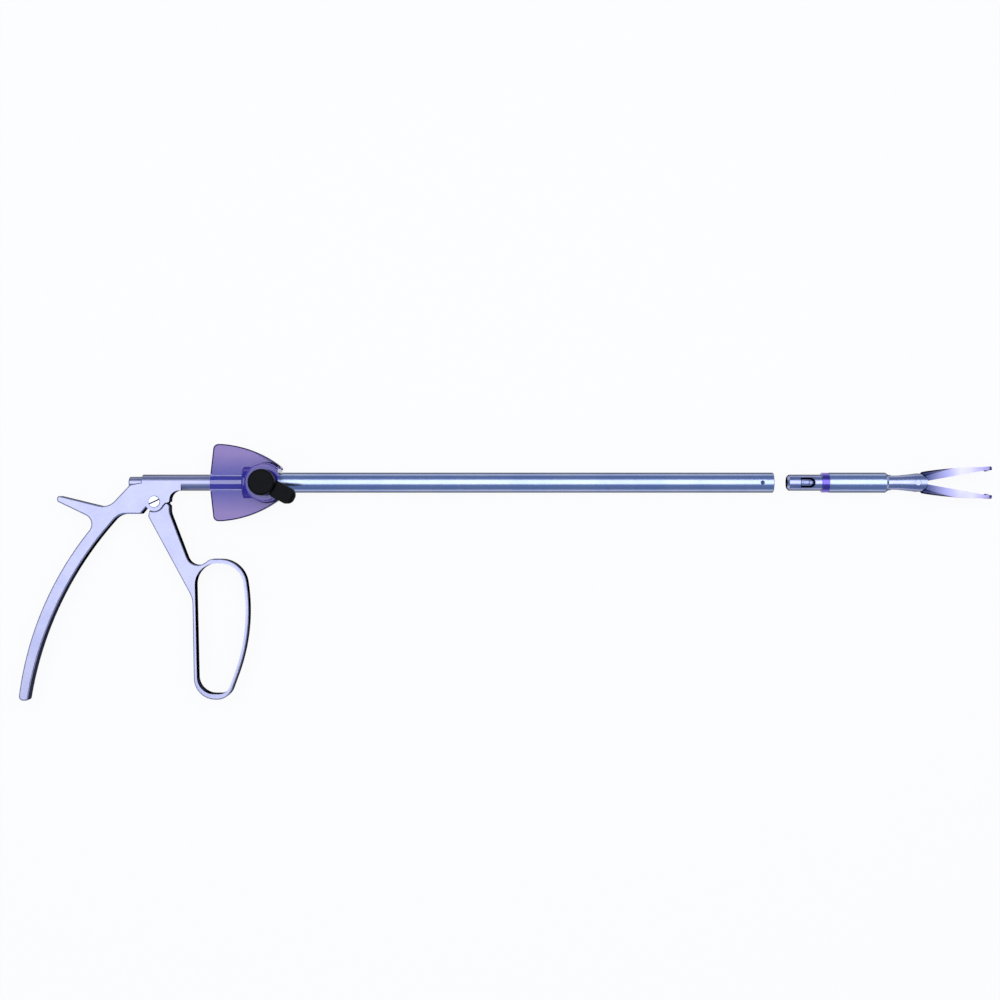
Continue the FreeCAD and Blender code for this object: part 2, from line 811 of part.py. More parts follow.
def make_drive_block():
    """Slotted block in the barrel that turns the arm's swing into the rod's stroke."""
    body = make_body("drive_block", x=link_rest_x)
    turned(
        body, "Block",
        (-d.block_half_length, 0),
        (-d.block_half_length, block_r, 0.3),
        (d.block_half_length + d.block_socket, block_r, 0.3),
        (d.block_half_length + d.block_socket, 0),
    )
    wall = 0.7
    slot = draw(
        body, "ArmSlotOutline", "XZ_Plane",
        (-d.block_half_length + wall, -d.arm_thickness / 2 - d.tongue_clearance),
        (d.block_half_length - wall, -d.arm_thickness / 2 - d.tongue_clearance),
        (d.block_half_length - wall, d.arm_thickness / 2 + d.tongue_clearance),
        (-d.block_half_length + wall, d.arm_thickness / 2 + d.tongue_clearance),
    )
    cut(body, "ArmSlot", slot, d.block_dia + 2)
    cut(body, "PinHole", draw_circles(body, "PinHoleRing", "XY_Plane", (0, 0, d.link_pin_dia / 2)), d.block_dia + 2)
    socket = draw_circles(body, "RodSocketRing", "YZ_Plane", (0, 0, rod_r), offset=d.block_half_length)
    cut(body, "RodSocket", socket, d.block_socket + 1, midplane=False, backwards=True)
    return body


def make_pin(label, dia, length, **where):
    """A plain cross pin along Z."""
    body = make_body(label, **where)
    half = length / 2
    profile = draw(body, "PinProfile", "XZ_Plane", (0, -half), (dia / 2, -half, 0.15), (dia / 2, half, 0.15), (0, half))
    turn(body, "Pin", profile, axis="V_Axis")
    return body


def make_link_pin():
    """Pin that joins the lever's arm to the drive block."""
    return make_pin("link_pin", d.link_pin_dia, d.block_dia - 0.4, x=link_rest_x)


def make_drive_rod():
    """Long push rod from the drive block to the face of the docked tip's pusher."""
    start = link_rest_x + d.block_half_length
    body = make_body("drive_rod", x=start)
    length = rod_end - start
    turned(body, "Rod", (0, 0), (0, rod_r), (length, rod_r, 0.5), (length, 0))
    return body


def make_ring(label, x, width, inner, outer, round_size=None):
    """A turned ring about the shaft axis, starting at x."""
    body = make_body(label, x=x)
    rim = (outer, round_size) if round_size else (outer,)
    turned(body, "Ring", (0, inner), (0, *rim), (width, *rim), (width, inner))
    return body


def make_rod_seal():
    """Seal ring in the barrel's groove round the rod."""
    side = 0.05
    return make_ring("rod_seal", d.seal_x - d.seal_width / 2 + side, d.seal_width - 2 * side,
                     rod_r + 0.03, d.seal_dia / 2 - 0.02)


def make_swivel_ring():
    """Retaining ring in the spigot groove, which keeps the shaft on the handle."""
    return make_ring("swivel_ring", d.core_shoulder + d.core_fit, d.ring_thickness,
                     spigot_r - d.ring_depth + 0.02, d.cavity_dia / 2 - 0.1)


def make_rod_guide(number, share):
    """Guide bush in the tube that keeps the rod on the axis."""
    width = d.guide_width
    return make_ring(f"rod_guide_{number}", d.tube_end * share - width, width, rod_bore_r, bore_r)


def make_outer_tube():
    """Shaft tube: seat for the knob, flushing hole and, near the front, the latch hole."""
    body = make_body("outer_tube")
    lead = 0.3
    turned(
        body, "Tube",
        (d.tube_rear, bore_r),
        (d.tube_rear, tube_seat_r),
        (d.tube_shoulder, tube_seat_r),
        (d.tube_shoulder, tube_r),
        (d.tube_end - lead, tube_r),
        (d.tube_end, tube_r - lead),
        (d.tube_end, bore_r + lead),
        (d.tube_end - lead, bore_r),
    )
    hole = draw_circles(body, "LatchHoleRing", "XY_Plane", (latch_hole_x, 0, d.latch_hole_dia / 2))
    cut(body, "LatchHole", hole, d.tube_od, midplane=False, backwards=True)
    port = draw_circles(body, "FlushHoleRing", "XY_Plane", (d.port_x, 0, d.port_bore / 2))
    cut(body, "FlushHole", port, d.tube_od, midplane=False, backwards=True)
    return body


def make_knob_core():
    """Metal core of the knob: bearing on the spigot, flange and socket for the tube."""
    body = make_body("knob_core")
    run_r = spigot_r + d.core_fit
    nose_end = d.tube_rear + d.core_nose_length
    turned(
        body, "Core",
        (d.knob_rear, run_r),
        (d.knob_rear, core_r),
        (core_flange_x, core_r),
        (core_flange_x, d.core_flange_dia / 2),
        (d.tube_rear, d.core_flange_dia / 2),
        (d.tube_rear, bore_r),
        (nose_end, bore_r),
        (nose_end, run_r),
        (d.spigot_end + 1, run_r),
        (d.spigot_end + 1, d.cavity_dia / 2),
        (d.core_shoulder, d.cavity_dia / 2),
        (d.core_shoulder, run_r),
    )
    port = draw_circles(body, "FlushHoleRing", "XY_Plane", (d.port_x, 0, d.port_od / 2))
    cut(body, "FlushHole", port, d.tube_od, midplane=False, backwards=True)
    return body


def knob_outline(side):
    """Corners of one wing's edge, from the rear hub to the front face."""
    shoulder = (d.knob_rear + 5, side * d.wing_reach)
    middle_x = (d.knob_rear + d.knob_front) / 2
    sag = d.wing_reach - (d.wing_reach - d.wing_nose) * 0.23
    return [
        (d.knob_rear - 0.3, side * 4.4),
        (d.knob_rear + 1.2, side * d.wing_reach, 2.6),
        shoulder,
        ("via", middle_x, side * sag),
        (d.knob_front - 1.8, side * d.wing_nose),
        (d.knob_front, side * (d.wing_nose - 1.4)),
    ]


def make_rotation_knob():
    """Two-winged rotation knob with its hub, its nose and the turret for the port."""
    body = make_body("rotation_knob")
    reach = d.wing_reach + 2
    root_half, tip_half = d.wing_root_thickness / 2, d.wing_tip_thickness / 2
    section = draw(
        body, "WingSection", "YZ_Plane",
        (-reach, -tip_half), (0, -root_half), (reach, -tip_half),
        (reach, tip_half), (0, root_half), (-reach, tip_half),
        offset=d.knob_rear - 1,
    )
    pad(body, "Wings", section, d.knob_front - d.knob_rear + 2, midplane=False)
    hub = draw_circles(body, "HubRing", "YZ_Plane", (0, 0, d.hub_dia / 2), offset=d.knob_rear - 0.3)
    pad(body, "Hub", hub, d.nose_start - d.knob_rear + 1, midplane=False)
    turned(
        body, "Nose",
        (d.nose_start, 0),
        (d.nose_start, d.nose_dia / 2, 1),
        (d.knob_front, d.nose_dia / 2, 1.6),
        (d.knob_front, 0),
    )
    turret = draw_circles(body, "TurretRing", "XY_Plane", (d.port_x, 0, d.turret_dia / 2))
    tower = pad(body, "Turret", turret, d.turret_top, midplane=False)
    soften(body, "TurretEdge", tower,
           lambda edge, middle: abs(edge.BoundBox.ZMin - d.turret_top.value) < 1e-6, 1.0)
    pen = Pen(start_sketch(body, "SilhouetteOutline", "XY_Plane"))
    upper, lower = knob_outline(1), knob_outline(-1)
    pen.outline(*upper, *mirror_path(lower))
    far = 30
    pen.outline((d.knob_rear - far, -far), (d.knob_front + far, -far), (d.knob_front + far, far),
                (d.knob_rear - far, far))
    cut(body, "Silhouette", pen.done(), 60)
    turned(
        body, "CoreBore",
        (d.knob_rear - 2, 0),
        (d.knob_rear - 2, core_r),
        (core_flange_x, core_r),
        (core_flange_x, d.core_flange_dia / 2),
        (d.tube_rear, d.core_flange_dia / 2),
        (d.tube_rear, tube_seat_r),
        (d.knob_front + 1, tube_seat_r),
        (d.knob_front + 1, 0),
        kind="Groove",
    )
    port = draw_circles(body, "PortHoleRing", "XY_Plane", (d.port_x, 0, d.port_od / 2))
    cut(body, "PortHole", port, d.turret_top + 1, midplane=False, backwards=True)
    return body


def mirror_path(path):
    """The same path walked the other way, with its arcs kept between their ends."""
    return list(reversed(path))


def make_flush_port():
    """Tapered flushing port that stands on the tube and clamps the cap's strap."""
    body = make_body("flush_port", x=d.port_x)
    outer, bore = d.port_od / 2, d.port_bore / 2
    flange_top = d.turret_top + d.port_flange_height
    profile = draw(
        body, "PortProfile", "XZ_Plane",
        (bore, tube_seat_r + d.touch_gap),
        (outer, tube_seat_r + d.touch_gap),
        (outer, d.turret_top),
        (d.port_flange_dia / 2, d.turret_top),
        (d.port_flange_dia / 2, flange_top, 0.4),
        (outer, flange_top),
        (outer, d.port_top, 0.3),
        (bore + 0.15, d.port_top),
    )
    turn(body, "Port", profile, axis="V_Axis")
    return body


def make_port_cap():
    """Round rubber cap with a plug that closes the port."""
    body = make_body("port_cap", x=d.port_x, z=strap_top + d.lever_clearance)
    cap_r = d.cap_dia / 2
    inside = d.port_od / 2 + d.cap_fit
    ceiling = d.port_top + 0.1 - strap_top - d.lever_clearance
    profile = draw(
        body, "CapProfile", "XZ_Plane",
        (inside, 0),
        (cap_r, 0, 0.6),
        (cap_r, d.cap_height, d.cap_crown),
        (0, d.cap_height),
        (0, ceiling - d.cap_plug_length),
        (d.cap_plug_dia / 2, ceiling - d.cap_plug_length),
        (d.cap_plug_dia / 2, ceiling),
        (inside, ceiling),
    )
    turn(body, "Cap", profile, axis="V_Axis")
    return body


def make_cap_strap():
    """Rubber strap: a ring round the port and a tab that folds back to the cap."""
    body = make_body("cap_strap", x=d.port_x, z=strap_top - d.strap_thickness, turn=d.strap_swing)
    near = d.cap_dia / 2 + d.lever_clearance
    bend = d.strap_reach - d.strap_height / 2 - 0.6
    rise = d.strap_height + d.strap_thickness
    fold = draw(
        body, "FoldOutline", "XZ_Plane",
        (2, 0),
        (bend, 0),
        ("via", d.strap_reach, rise / 2),
        (bend, rise),
        (near, rise),
        (near, d.strap_height),
        (bend, d.strap_height),
        ("via", d.strap_reach - d.strap_thickness, rise / 2),
        (bend, d.strap_thickness),
        (2, d.strap_thickness),
    )
    pad(body, "Fold", fold, d.strap_width)
    ring = draw_circles(body, "RingOuter", "XY_Plane", (0, 0, d.port_flange_dia / 2 + 0.6))
    pad(body, "Ring", ring, d.strap_thickness, midplane=False)
    hole = draw_circles(body, "RingHole", "XY_Plane", (0, 0, d.port_od / 2 + 0.02))
    cut(body, "Hole", hole, d.strap_thickness, midplane=False, backwards=True)
    return body


def make_tip_body():
    """Core of the detachable tip: plug with the latch window, stem and forked head."""
    body = make_body("tip_body", x=tip_shoulder)
    fork_r = d.fork_dia / 2
    turned(
        body, "Turned",
        (-d.plug_length, 0),
        (-d.plug_length, plug_r - d.plug_chamfer),
        (-d.plug_length + d.plug_chamfer, plug_r),
        (d.fork_start, plug_r),
        (d.fork_start, d.fork_neck_dia / 2),
        (d.fork_start + 5, d.fork_neck_dia / 2, 30),
        (d.pin_x, fork_r, 12),
        (d.pin_x + fork_r, fork_r),
        (d.pin_x + fork_r, 0),
    )
    turned(
        body, "Bores",
        (-d.plug_length - 1, 0),
        (-d.plug_length - 1, plug_bore_r),
        (d.guide_start, plug_bore_r),
        (d.guide_start, d.guide_bore / 2),
        (d.guide_end, d.guide_bore / 2),
        (d.guide_end, plug_bore_r),
        (d.pin_x - 3.3, plug_bore_r),
        (d.pin_x - 3.3, 0),
        kind="Groove",
    )
    slot = draw(
        body, "ForkSlotOutline", "XZ_Plane",
        (d.pin_x - d.slot_depth, -fork_half_slot),
        (d.pin_x + 2 * fork_r, -fork_half_slot),
        (d.pin_x + 2 * fork_r, fork_half_slot),
        (d.pin_x - d.slot_depth, fork_half_slot),
    )
    cut(body, "ForkSlot", slot, d.fork_dia + 2)
    nose = draw(
        body, "CheekNoseOutline", "XY_Plane",
        (d.pin_x, -fork_r),
        ("via", d.pin_x + fork_r, 0),
        (d.pin_x, fork_r),
        (d.pin_x, fork_r + 2),
        (d.pin_x + 2 * fork_r, fork_r + 2),
        (d.pin_x + 2 * fork_r, -fork_r - 2),
        (d.pin_x, -fork_r - 2),
    )
    cut(body, "CheekNose", nose, d.fork_dia + 2)
    hole = draw_circles(body, "PinHoleRing", "XY_Plane", (d.pin_x, 0, d.jaw_pin_dia / 2))
    cut(body, "PinHole", hole, d.fork_dia + 2)
    half = d.tongue_width / 2 + d.tongue_slit
    window = draw(
        body, "LatchWindowOutline", "XY_Plane",
        (-d.tongue_root, -half),
        (-d.latch_setback, -half),
        ("via", half - d.latch_setback, 0),
        (-d.latch_setback, half),
        (-d.tongue_root, half),
    )
    cut(body, "LatchWindow", window, plug_r + 1, midplane=False, backwards=True)
    return body


def make_color_ring():
    """Coloured ring that marks the clip size."""
    return make_ring("color_ring", tip_shoulder, d.color_ring_width, plug_r, tube_r, 0.2)


def make_tip_sleeve():
    """Sleeve pressed over the stem of the tip, flush with the shaft."""
    body = make_body("tip_sleeve", x=tip_shoulder)
    turned(
        body, "Sleeve",
        (d.color_ring_width, plug_r),
        (d.color_ring_width, tube_r),
        (d.fork_start - d.sleeve_chamfer, tube_r),
        (d.fork_start, plug_r + 0.2),
        (d.fork_start, plug_r),
    )
    return body


def make_latch_tongue():
    """Spring tongue with the latch button, held pressed in so that the tip can slide."""
    lift = d.tongue_hinge_height
    body = make_body(
        "latch_tongue",
        x=tip_shoulder - d.tongue_root - lift * sine(d.latch_press),
        z=lift - lift * cosine(d.latch_press),
        axis=(0, 1, 0), turn=d.latch_press,
    )
    half = d.tongue_width / 2
    button_x = d.tongue_root - d.latch_setback
    outline = draw(
        body, "TongueOutline", "XY_Plane",
        (0, -half),
        (button_x, -half),
        ("via", button_x + half, 0),
        (button_x, half),
        (0, half),
    )
    pad(body, "Tongue", outline, plug_r + 1, midplane=False)
    inner = plug_r - d.tongue_wall
    turned(body, "InnerFace", (-1, 0), (-1, inner), (button_x + 3, inner), (button_x + 3, 0), kind="Groove")
    turned(body, "OuterFace", (-1, plug_r), (-1, plug_r + 4), (button_x + 3, plug_r + 4), (button_x + 3, plug_r),
           kind="Groove")
    button = draw_circles(body, "ButtonRing", "XY_Plane", (button_x, 0, d.button_dia / 2), offset=inner + 0.3)
    knob = pad(body, "Button", button, d.tongue_wall - 0.3 + d.button_proud, midplane=False)
    top = (plug_r + d.button_proud).value
    soften(body, "ButtonEdge", knob, lambda edge, middle: abs(edge.BoundBox.ZMin - top) < 1e-6, 0.3)
    return body


def make_pusher():
    """Pusher that the rod drives: rear face, stem with spring collar, slotted head."""
    body = make_body("pusher", x=tip_shoulder)
    rear = d.pusher_inset - d.plug_length
    head_r, stem_r = d.pusher_dia / 2, d.pusher_stem_dia / 2
    cam_x = d.pin_x - d.tail_reach
    head_front = cam_x + d.cam_pin_dia / 2 + 0.5
    turned(
        body, "Turned",
        (rear, 0),
        (rear, head_r, 0.2),
        (rear + d.pusher_head_length, head_r),
        (rear + d.pusher_head_length, stem_r),
        (d.collar_x, stem_r),
        (d.collar_x, head_r),
        (d.collar_x + d.pusher_head_length, head_r),
        (d.collar_x + d.pusher_head_length, stem_r),
        (head_front - d.pusher_fork_length, stem_r),
        (head_front - d.pusher_fork_length, head_r, 0.3),
        (head_front, head_r),
        (head_front, 0),
    )
    slot = draw(
        body, "HeadSlotOutline", "XZ_Plane",
        (cam_x - d.head_slot_depth, -fork_half_slot),
        (head_front + 1, -fork_half_slot),
        (head_front + 1, fork_half_slot),
        (cam_x - d.head_slot_depth, fork_half_slot),
    )
    cut(body, "HeadSlot", slot, d.pusher_dia + 2)
    cut(body, "CamPinHole", draw_circles(body, "CamPinRing", "XY_Plane", (cam_x, 0, d.cam_pin_dia / 2)), d.pusher_dia + 2)
    return body


def make_cam_pin():
    """Pin across the pusher head that runs in the cam slots of both jaws."""
    return make_pin("cam_pin", d.cam_pin_dia, d.pusher_dia - 0.4, x=tip_shoulder + d.pin_x - d.tail_reach)


def make_jaw_pin():
    """Pin through the fork on which both jaws turn."""
    return make_pin("jaw_pin", d.jaw_pin_dia, d.fork_dia - 0.5, x=tip_shoulder + d.pin_x)


def cam_point(side, share, off=0):
    """A point of the cam slot's path in the closed jaw, after a share of the stroke.

    The path is where the cam pin lies as the jaw swings shut at a constant rate.
    """
    swing = d.jaw_open * (1 - share)
    reach = d.tail_reach - stroke * share
    return -reach * cosine(swing) + 0.39 * off, side * (reach * sine(swing) + 0.92 * off)


def make_jaw(label, side):
    """A jaw: half-lapped hinge plate with a curved cam slot, and hooked, grooved blade."""
    body = make_body(label, x=tip_shoulder + d.pin_x, turn=side * d.jaw_open)
    back = d.jaw_back_radius
    tip = d.jaw_length
    hook = tip - d.hook_length
    blade = draw(
        body, "BladeOutline", "XY_Plane",
        (root(back * back - d.jaw_inner_root * d.jaw_inner_root), side * d.jaw_inner_root),
        (hook, side * d.jaw_inner_tip),
        (hook + 0.5, side * d.jaw_inner_root),
        (hook + 1.4, side * d.jaw_inner_root),
        ("via", hook + 2.1, side * d.hook_notch),
        (hook + 2.8, side * (d.jaw_inner_root + 0.25)),
        (tip, side * (d.jaw_inner_root + 0.5)),
        (tip, side * d.jaw_tip_height, 0.7),
        (tip - 4, side * (d.jaw_tip_height + 0.25)),
        ("via", tip / 2, side * (d.jaw_root_height - 0.65)),
        (back + 0.3, side * d.jaw_root_height),
        (back * cosine(as_size(50)) + 0.4, side * (d.jaw_root_height - 0.1), 0.4),
        (back * cosine(as_size(50)), side * back * sine(as_size(50))),
        ("via", back * cosine(as_size(25)), side * back * sine(as_size(25))),
    )
    pad(body, "Blade", blade, 2 * d.jaw_round)
    half_tip = d.jaw_tip_width / 2
    pen = Pen(start_sketch(body, "PlanOutline", "XZ_Plane"))
    for flank in (1, -1):
        pen.outline(
            (2, flank * (d.jaw_round - 0.5)),
            (d.jaw_taper_end, flank * half_tip),
            (tip - 1.5, flank * half_tip),
            (tip + 1, flank * (half_tip - 0.9)),
            (tip + 1, flank * (d.jaw_round + 1)),
            (2, flank * (d.jaw_round + 1)),
        )
    cut(body, "Plan", pen.done(), 4 * d.jaw_round)
    turned(body, "Barrel", (-1, d.jaw_round), (tip + 1, d.jaw_round), (tip + 1, d.jaw_round + 4), (-1, d.jaw_round + 4),
           kind="Groove")
    groove = draw(
        body, "ClipGrooveOutline", "XY_Plane",
        (back + 2, -side * 0.5),
        (hook - 0.6, -side * 0.5),
        (hook - 0.6, side * (d.jaw_inner_tip + d.clip_groove_depth)),
        (back + 2, side * (d.jaw_inner_root + d.clip_groove_depth)),
    )
    cut(body, "ClipGroove", groove, d.clip_groove_width)
    lap_gap = (d.fork_slot - 2 * d.jaw_lap) / 4
    hinge_r = back - 0.5
    upward = side < 0
    lap = draw_circles(body, "HingeRing", "XY_Plane", (0, 0, hinge_r), offset=side * lap_gap)
    pad(body, "HingePlate", lap, d.jaw_lap, midplane=False, backwards=upward)
    web = draw(
        body, "HingeWebOutline", "XY_Plane",
        (0, side * 0.3), (back + 1.2, side * 0.3), (back + 1.2, side * 3.2), (0, side * 3.2),
        offset=side * lap_gap,
    )
    pad(body, "HingeWeb", web, d.jaw_lap, midplane=False, backwards=upward)
    end = -d.tail_reach - 1.5
    tail = draw(
        body, "TailOutline", "XY_Plane",
        (0, -side * 3.4), (end, -side * 0.6, 1), (end, side * 3.1, 1.2), (-2, side * 3.6), (0, side * 3.4),
        offset=side * lap_gap,
    )
    pad(body, "Tail", tail, d.jaw_lap, midplane=False, backwards=upward)
    hole = draw_circles(body, "HingeHoleRing", "XY_Plane", (0, 0, d.jaw_pin_dia / 2 + d.jaw_pin_fit))
    cut(body, "HingeHole", hole, d.fork_slot)
    half_slot = d.cam_pin_dia / 2 + d.cam_fit
    start, middle, finish = as_size(0), as_size(0.5), as_size(1)
    slot = draw(
        body, "CamSlotOutline", "XY_Plane",
        cam_point(side, start, half_slot),
        ("via", *cam_point(side, middle, half_slot)),
        cam_point(side, finish, half_slot),
        ("via", cam_point(side, finish)[0] + half_slot, cam_point(side, finish)[1] - side * 0.39 * half_slot),
        cam_point(side, finish, -half_slot),
        ("via", *cam_point(side, middle, -half_slot)),
        cam_point(side, start, -half_slot),
        ("via", cam_point(side, start)[0] - half_slot, cam_point(side, start)[1] + side * 0.39 * half_slot),
    )
    cut(body, "CamSlot", slot, d.fork_slot)
    return body


BUILDERS = [
    lambda: finish_handle(make_handle()),
    make_rear_plug,
    make_pivot_screw,
    make_finger_lever,
    make_drive_block,
    make_link_pin,
    make_drive_rod,
    make_rod_seal,
    make_swivel_ring,
    lambda: make_rod_guide(1, 0.42),
    lambda: make_rod_guide(2, 0.84),
    make_outer_tube,
    make_knob_core,
    make_rotation_knob,
    make_flush_port,
    make_port_cap,
    make_cap_strap,
    make_tip_body,
    make_color_ring,
    make_tip_sleeve,
    make_latch_tongue,
    make_pusher,
    make_cam_pin,
    make_jaw_pin,
    lambda: make_jaw("jaw_upper", 1),
    lambda: make_jaw("jaw_lower", -1),
]


def check_and_write(bodies):
    """Stop on a failed object, then write one STEP file per node."""
    doc.recompute()
    for item in doc.Objects:
        if "Invalid" in item.State or "Error" in item.State:
            raise ValueError(f"{item.Name} failed: {item.State}")
    os.makedirs("parts", exist_ok=True)
    for body in bodies:
        if body.Shape.isNull() or not body.Shape.isValid():
            raise ValueError(f"{body.Label} has no valid shape")
        body.Shape.exportStep(f"parts/{body.Label}.step")
        box = body.Shape.BoundBox
        print(f"{body.Label}: {len(body.Shape.Solids)} solid, {body.Shape.Volume:.1f} mm3,"
              f" x {box.XMin:.2f}..{box.XMax:.2f} y {box.YMin:.2f}..{box.YMax:.2f} z {box.ZMin:.2f}..{box.ZMax:.2f}")


check_and_write([build() for build in BUILDERS])
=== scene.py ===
"""Laparoscopic clip applier, seen from the side with its detachable tip drawn out.

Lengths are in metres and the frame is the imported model's: X runs along the shaft to the
jaws, Y to the top of the handle, and Z out of the handle plate towards the camera.
"""

import logging
import math
from dataclasses import dataclass
from enum import Enum
from typing import Callable, Sequence

import bpy
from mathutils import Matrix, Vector


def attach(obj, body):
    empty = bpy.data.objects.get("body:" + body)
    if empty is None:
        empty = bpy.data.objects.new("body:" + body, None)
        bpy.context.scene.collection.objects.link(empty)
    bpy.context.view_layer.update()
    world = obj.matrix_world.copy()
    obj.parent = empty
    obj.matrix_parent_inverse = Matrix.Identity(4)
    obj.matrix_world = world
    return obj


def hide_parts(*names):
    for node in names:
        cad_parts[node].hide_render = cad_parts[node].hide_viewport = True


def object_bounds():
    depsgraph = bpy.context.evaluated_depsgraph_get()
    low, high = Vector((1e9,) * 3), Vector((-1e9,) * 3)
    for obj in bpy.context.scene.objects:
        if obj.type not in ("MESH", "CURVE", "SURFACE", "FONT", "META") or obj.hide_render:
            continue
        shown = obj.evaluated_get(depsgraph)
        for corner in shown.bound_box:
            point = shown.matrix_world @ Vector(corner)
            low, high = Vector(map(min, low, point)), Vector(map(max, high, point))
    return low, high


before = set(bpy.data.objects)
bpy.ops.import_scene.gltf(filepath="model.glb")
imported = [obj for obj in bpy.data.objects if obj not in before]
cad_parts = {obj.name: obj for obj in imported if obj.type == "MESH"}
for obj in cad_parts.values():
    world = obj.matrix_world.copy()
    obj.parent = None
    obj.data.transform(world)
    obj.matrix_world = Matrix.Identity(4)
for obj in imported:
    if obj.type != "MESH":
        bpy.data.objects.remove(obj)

LOG = logging.getLogger("clip_applier")
CAD_BOX = [list(map(float, corner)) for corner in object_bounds()]

MM = 0.001
PHOTO_PIXELS = 1000
PIXEL = 0.5 * MM

MERGE_GAP = 0.002 * MM            # corners closer than this are one
FLAT_ANGLE = math.radians(0.3)    # facets that meet flatter than this are one face
SHARP_ANGLE = math.radians(38)    # edges sharper than this are broken
CREASE = 32.0                     # degrees from which an edge looks sharp
ALIGNED = 0.97                    # cosine from which a face looks along a direction

FaceTest = Callable[[Vector, Vector], bool]    # takes a face's centre and normal


class Polish(Enum):
    """Mean roughness of a steel surface, by how it was worked."""

    SATIN = 0.36
    DRAWN = 0.24
    TURNED = 0.26
    BRIGHT = 0.20


class Grain(Enum):
    """Direction in which a surface pattern is drawn out, as how often it repeats per axis."""

    EVEN = (1.0, 1.0, 1.0)
    ALONG_SHAFT = (0.02, 1.0, 1.0)
    AROUND_SHAFT = (1.0, 0.03, 0.03)


def linear(code: str) -> tuple[float, float, float, float]:
    """Turn an sRGB hex colour into Blender's linear values.

    Args:
        code: Colour such as "#d4d6fa".

    Returns:
        Red, green, blue and alpha, linear.
    """
    parts = [int(code[start:start + 2], 16) / 255 for start in (1, 3, 5)]
    bent = [part / 12.92 if part <= 0.04045 else ((part + 0.055) / 1.055) ** 2.4
            for part in parts]
    return bent[0], bent[1], bent[2], 1.0


def add_node(tree: bpy.types.NodeTree, kind: str, settings: dict | None = None,
             **inputs: object) -> bpy.types.Node:
    """Add a shader node with its settings, values and links.

    Args:
        tree: Node tree of the material or world.
        kind: Node type without its "ShaderNode" prefix.
        settings: Properties of the node itself.
        **inputs: Values or output sockets by input name, with "_" for a space, or by
            number as i0, i1 and so on where several inputs share a name.

    Returns:
        The new node.
    """
    node = tree.nodes.new("ShaderNode" + kind)
    for key, value in (settings or {}).items():
        setattr(node, key, value)
    for key, value in inputs.items():
        name = key.replace("_", " ")
        socket = node.inputs[int(name[1:])] if name[1:].isdigit() else node.inputs[name]
        if isinstance(value, bpy.types.NodeSocket):
            tree.links.new(value, socket)
        else:
            socket.default_value = value
    return node


def new_material(
        name: str) -> tuple[bpy.types.Material, bpy.types.NodeTree, bpy.types.NodeSocket]:
    """Start a material with only its output node.

    Args:
        name: Name of the finish.

    Returns:
        The material, its node tree and the output's surface socket.
    """
    material = bpy.data.materials.new(name)
    material.use_nodes = True
    tree = material.node_tree
    tree.nodes.clear()
    surface = add_node(tree, "OutputMaterial").inputs["Surface"]
    return material, tree, surface


def place_coordinates(tree: bpy.types.NodeTree,
                      grain: Grain = Grain.EVEN) -> bpy.types.NodeSocket:
    """Add object coordinates, drawn out along the grain.

    Args:
        tree: Node tree of the material.
        grain: Direction in which the pattern is drawn out.

    Returns:
        The coordinates' socket.
    """
    where = add_node(tree, "TexCoord").outputs["Object"]
    return add_node(tree, "Mapping", Vector=where, Scale=grain.value).outputs["Vector"]


def add_noise(tree: bpy.types.NodeTree, where: bpy.types.NodeSocket, size: float,
              **inputs: float) -> bpy.types.NodeSocket:
    """Add a noise pattern.

    Args:
        tree: Node tree of the material.
        where: The coordinates' socket.
        size: Size of the pattern's features.
        **inputs: Further values of the noise node.

    Returns:
        The pattern's socket, from 0 to 1.
    """
    return add_node(tree, "TexNoise", Vector=where, Scale=1 / size, **inputs).outputs["Fac"]


def remap(tree: bpy.types.NodeTree, value: bpy.types.NodeSocket, low: float, high: float,
          start: float = 0.0, stop: float = 1.0) -> bpy.types.NodeSocket:
    """Map a value's range from start..stop to low..high.

    Args:
        tree: Node tree of the material.
        value: The value's socket.
        low: Result at start.
        high: Result at stop.
        start: Value that gives low.
        stop: Value that gives high.

    Returns:
        The result's socket.
    """
    node = add_node(tree, "MapRange", Value=value, From_Min=start, From_Max=stop,
                    To_Min=low, To_Max=high)
    return node.outputs["Result"]


def mix_colors(tree: bpy.types.NodeTree, share: bpy.types.NodeSocket,
               first: str | bpy.types.NodeSocket, second: str) -> bpy.types.NodeSocket:
    """Mix two colours by a share that varies over the surface.

    Args:
        tree: Node tree of the material.
        share: Share of the second colour.
        first: An sRGB hex colour, or the socket of a colour.
        second: An sRGB hex colour.

    Returns:
        The mixed colour's socket.
    """
    base = linear(first) if isinstance(first, str) else first
    node = add_node(tree, "Mix", {"data_type": "RGBA"}, Factor=share, i6=base,
                    i7=linear(second))
    return node.outputs[2]


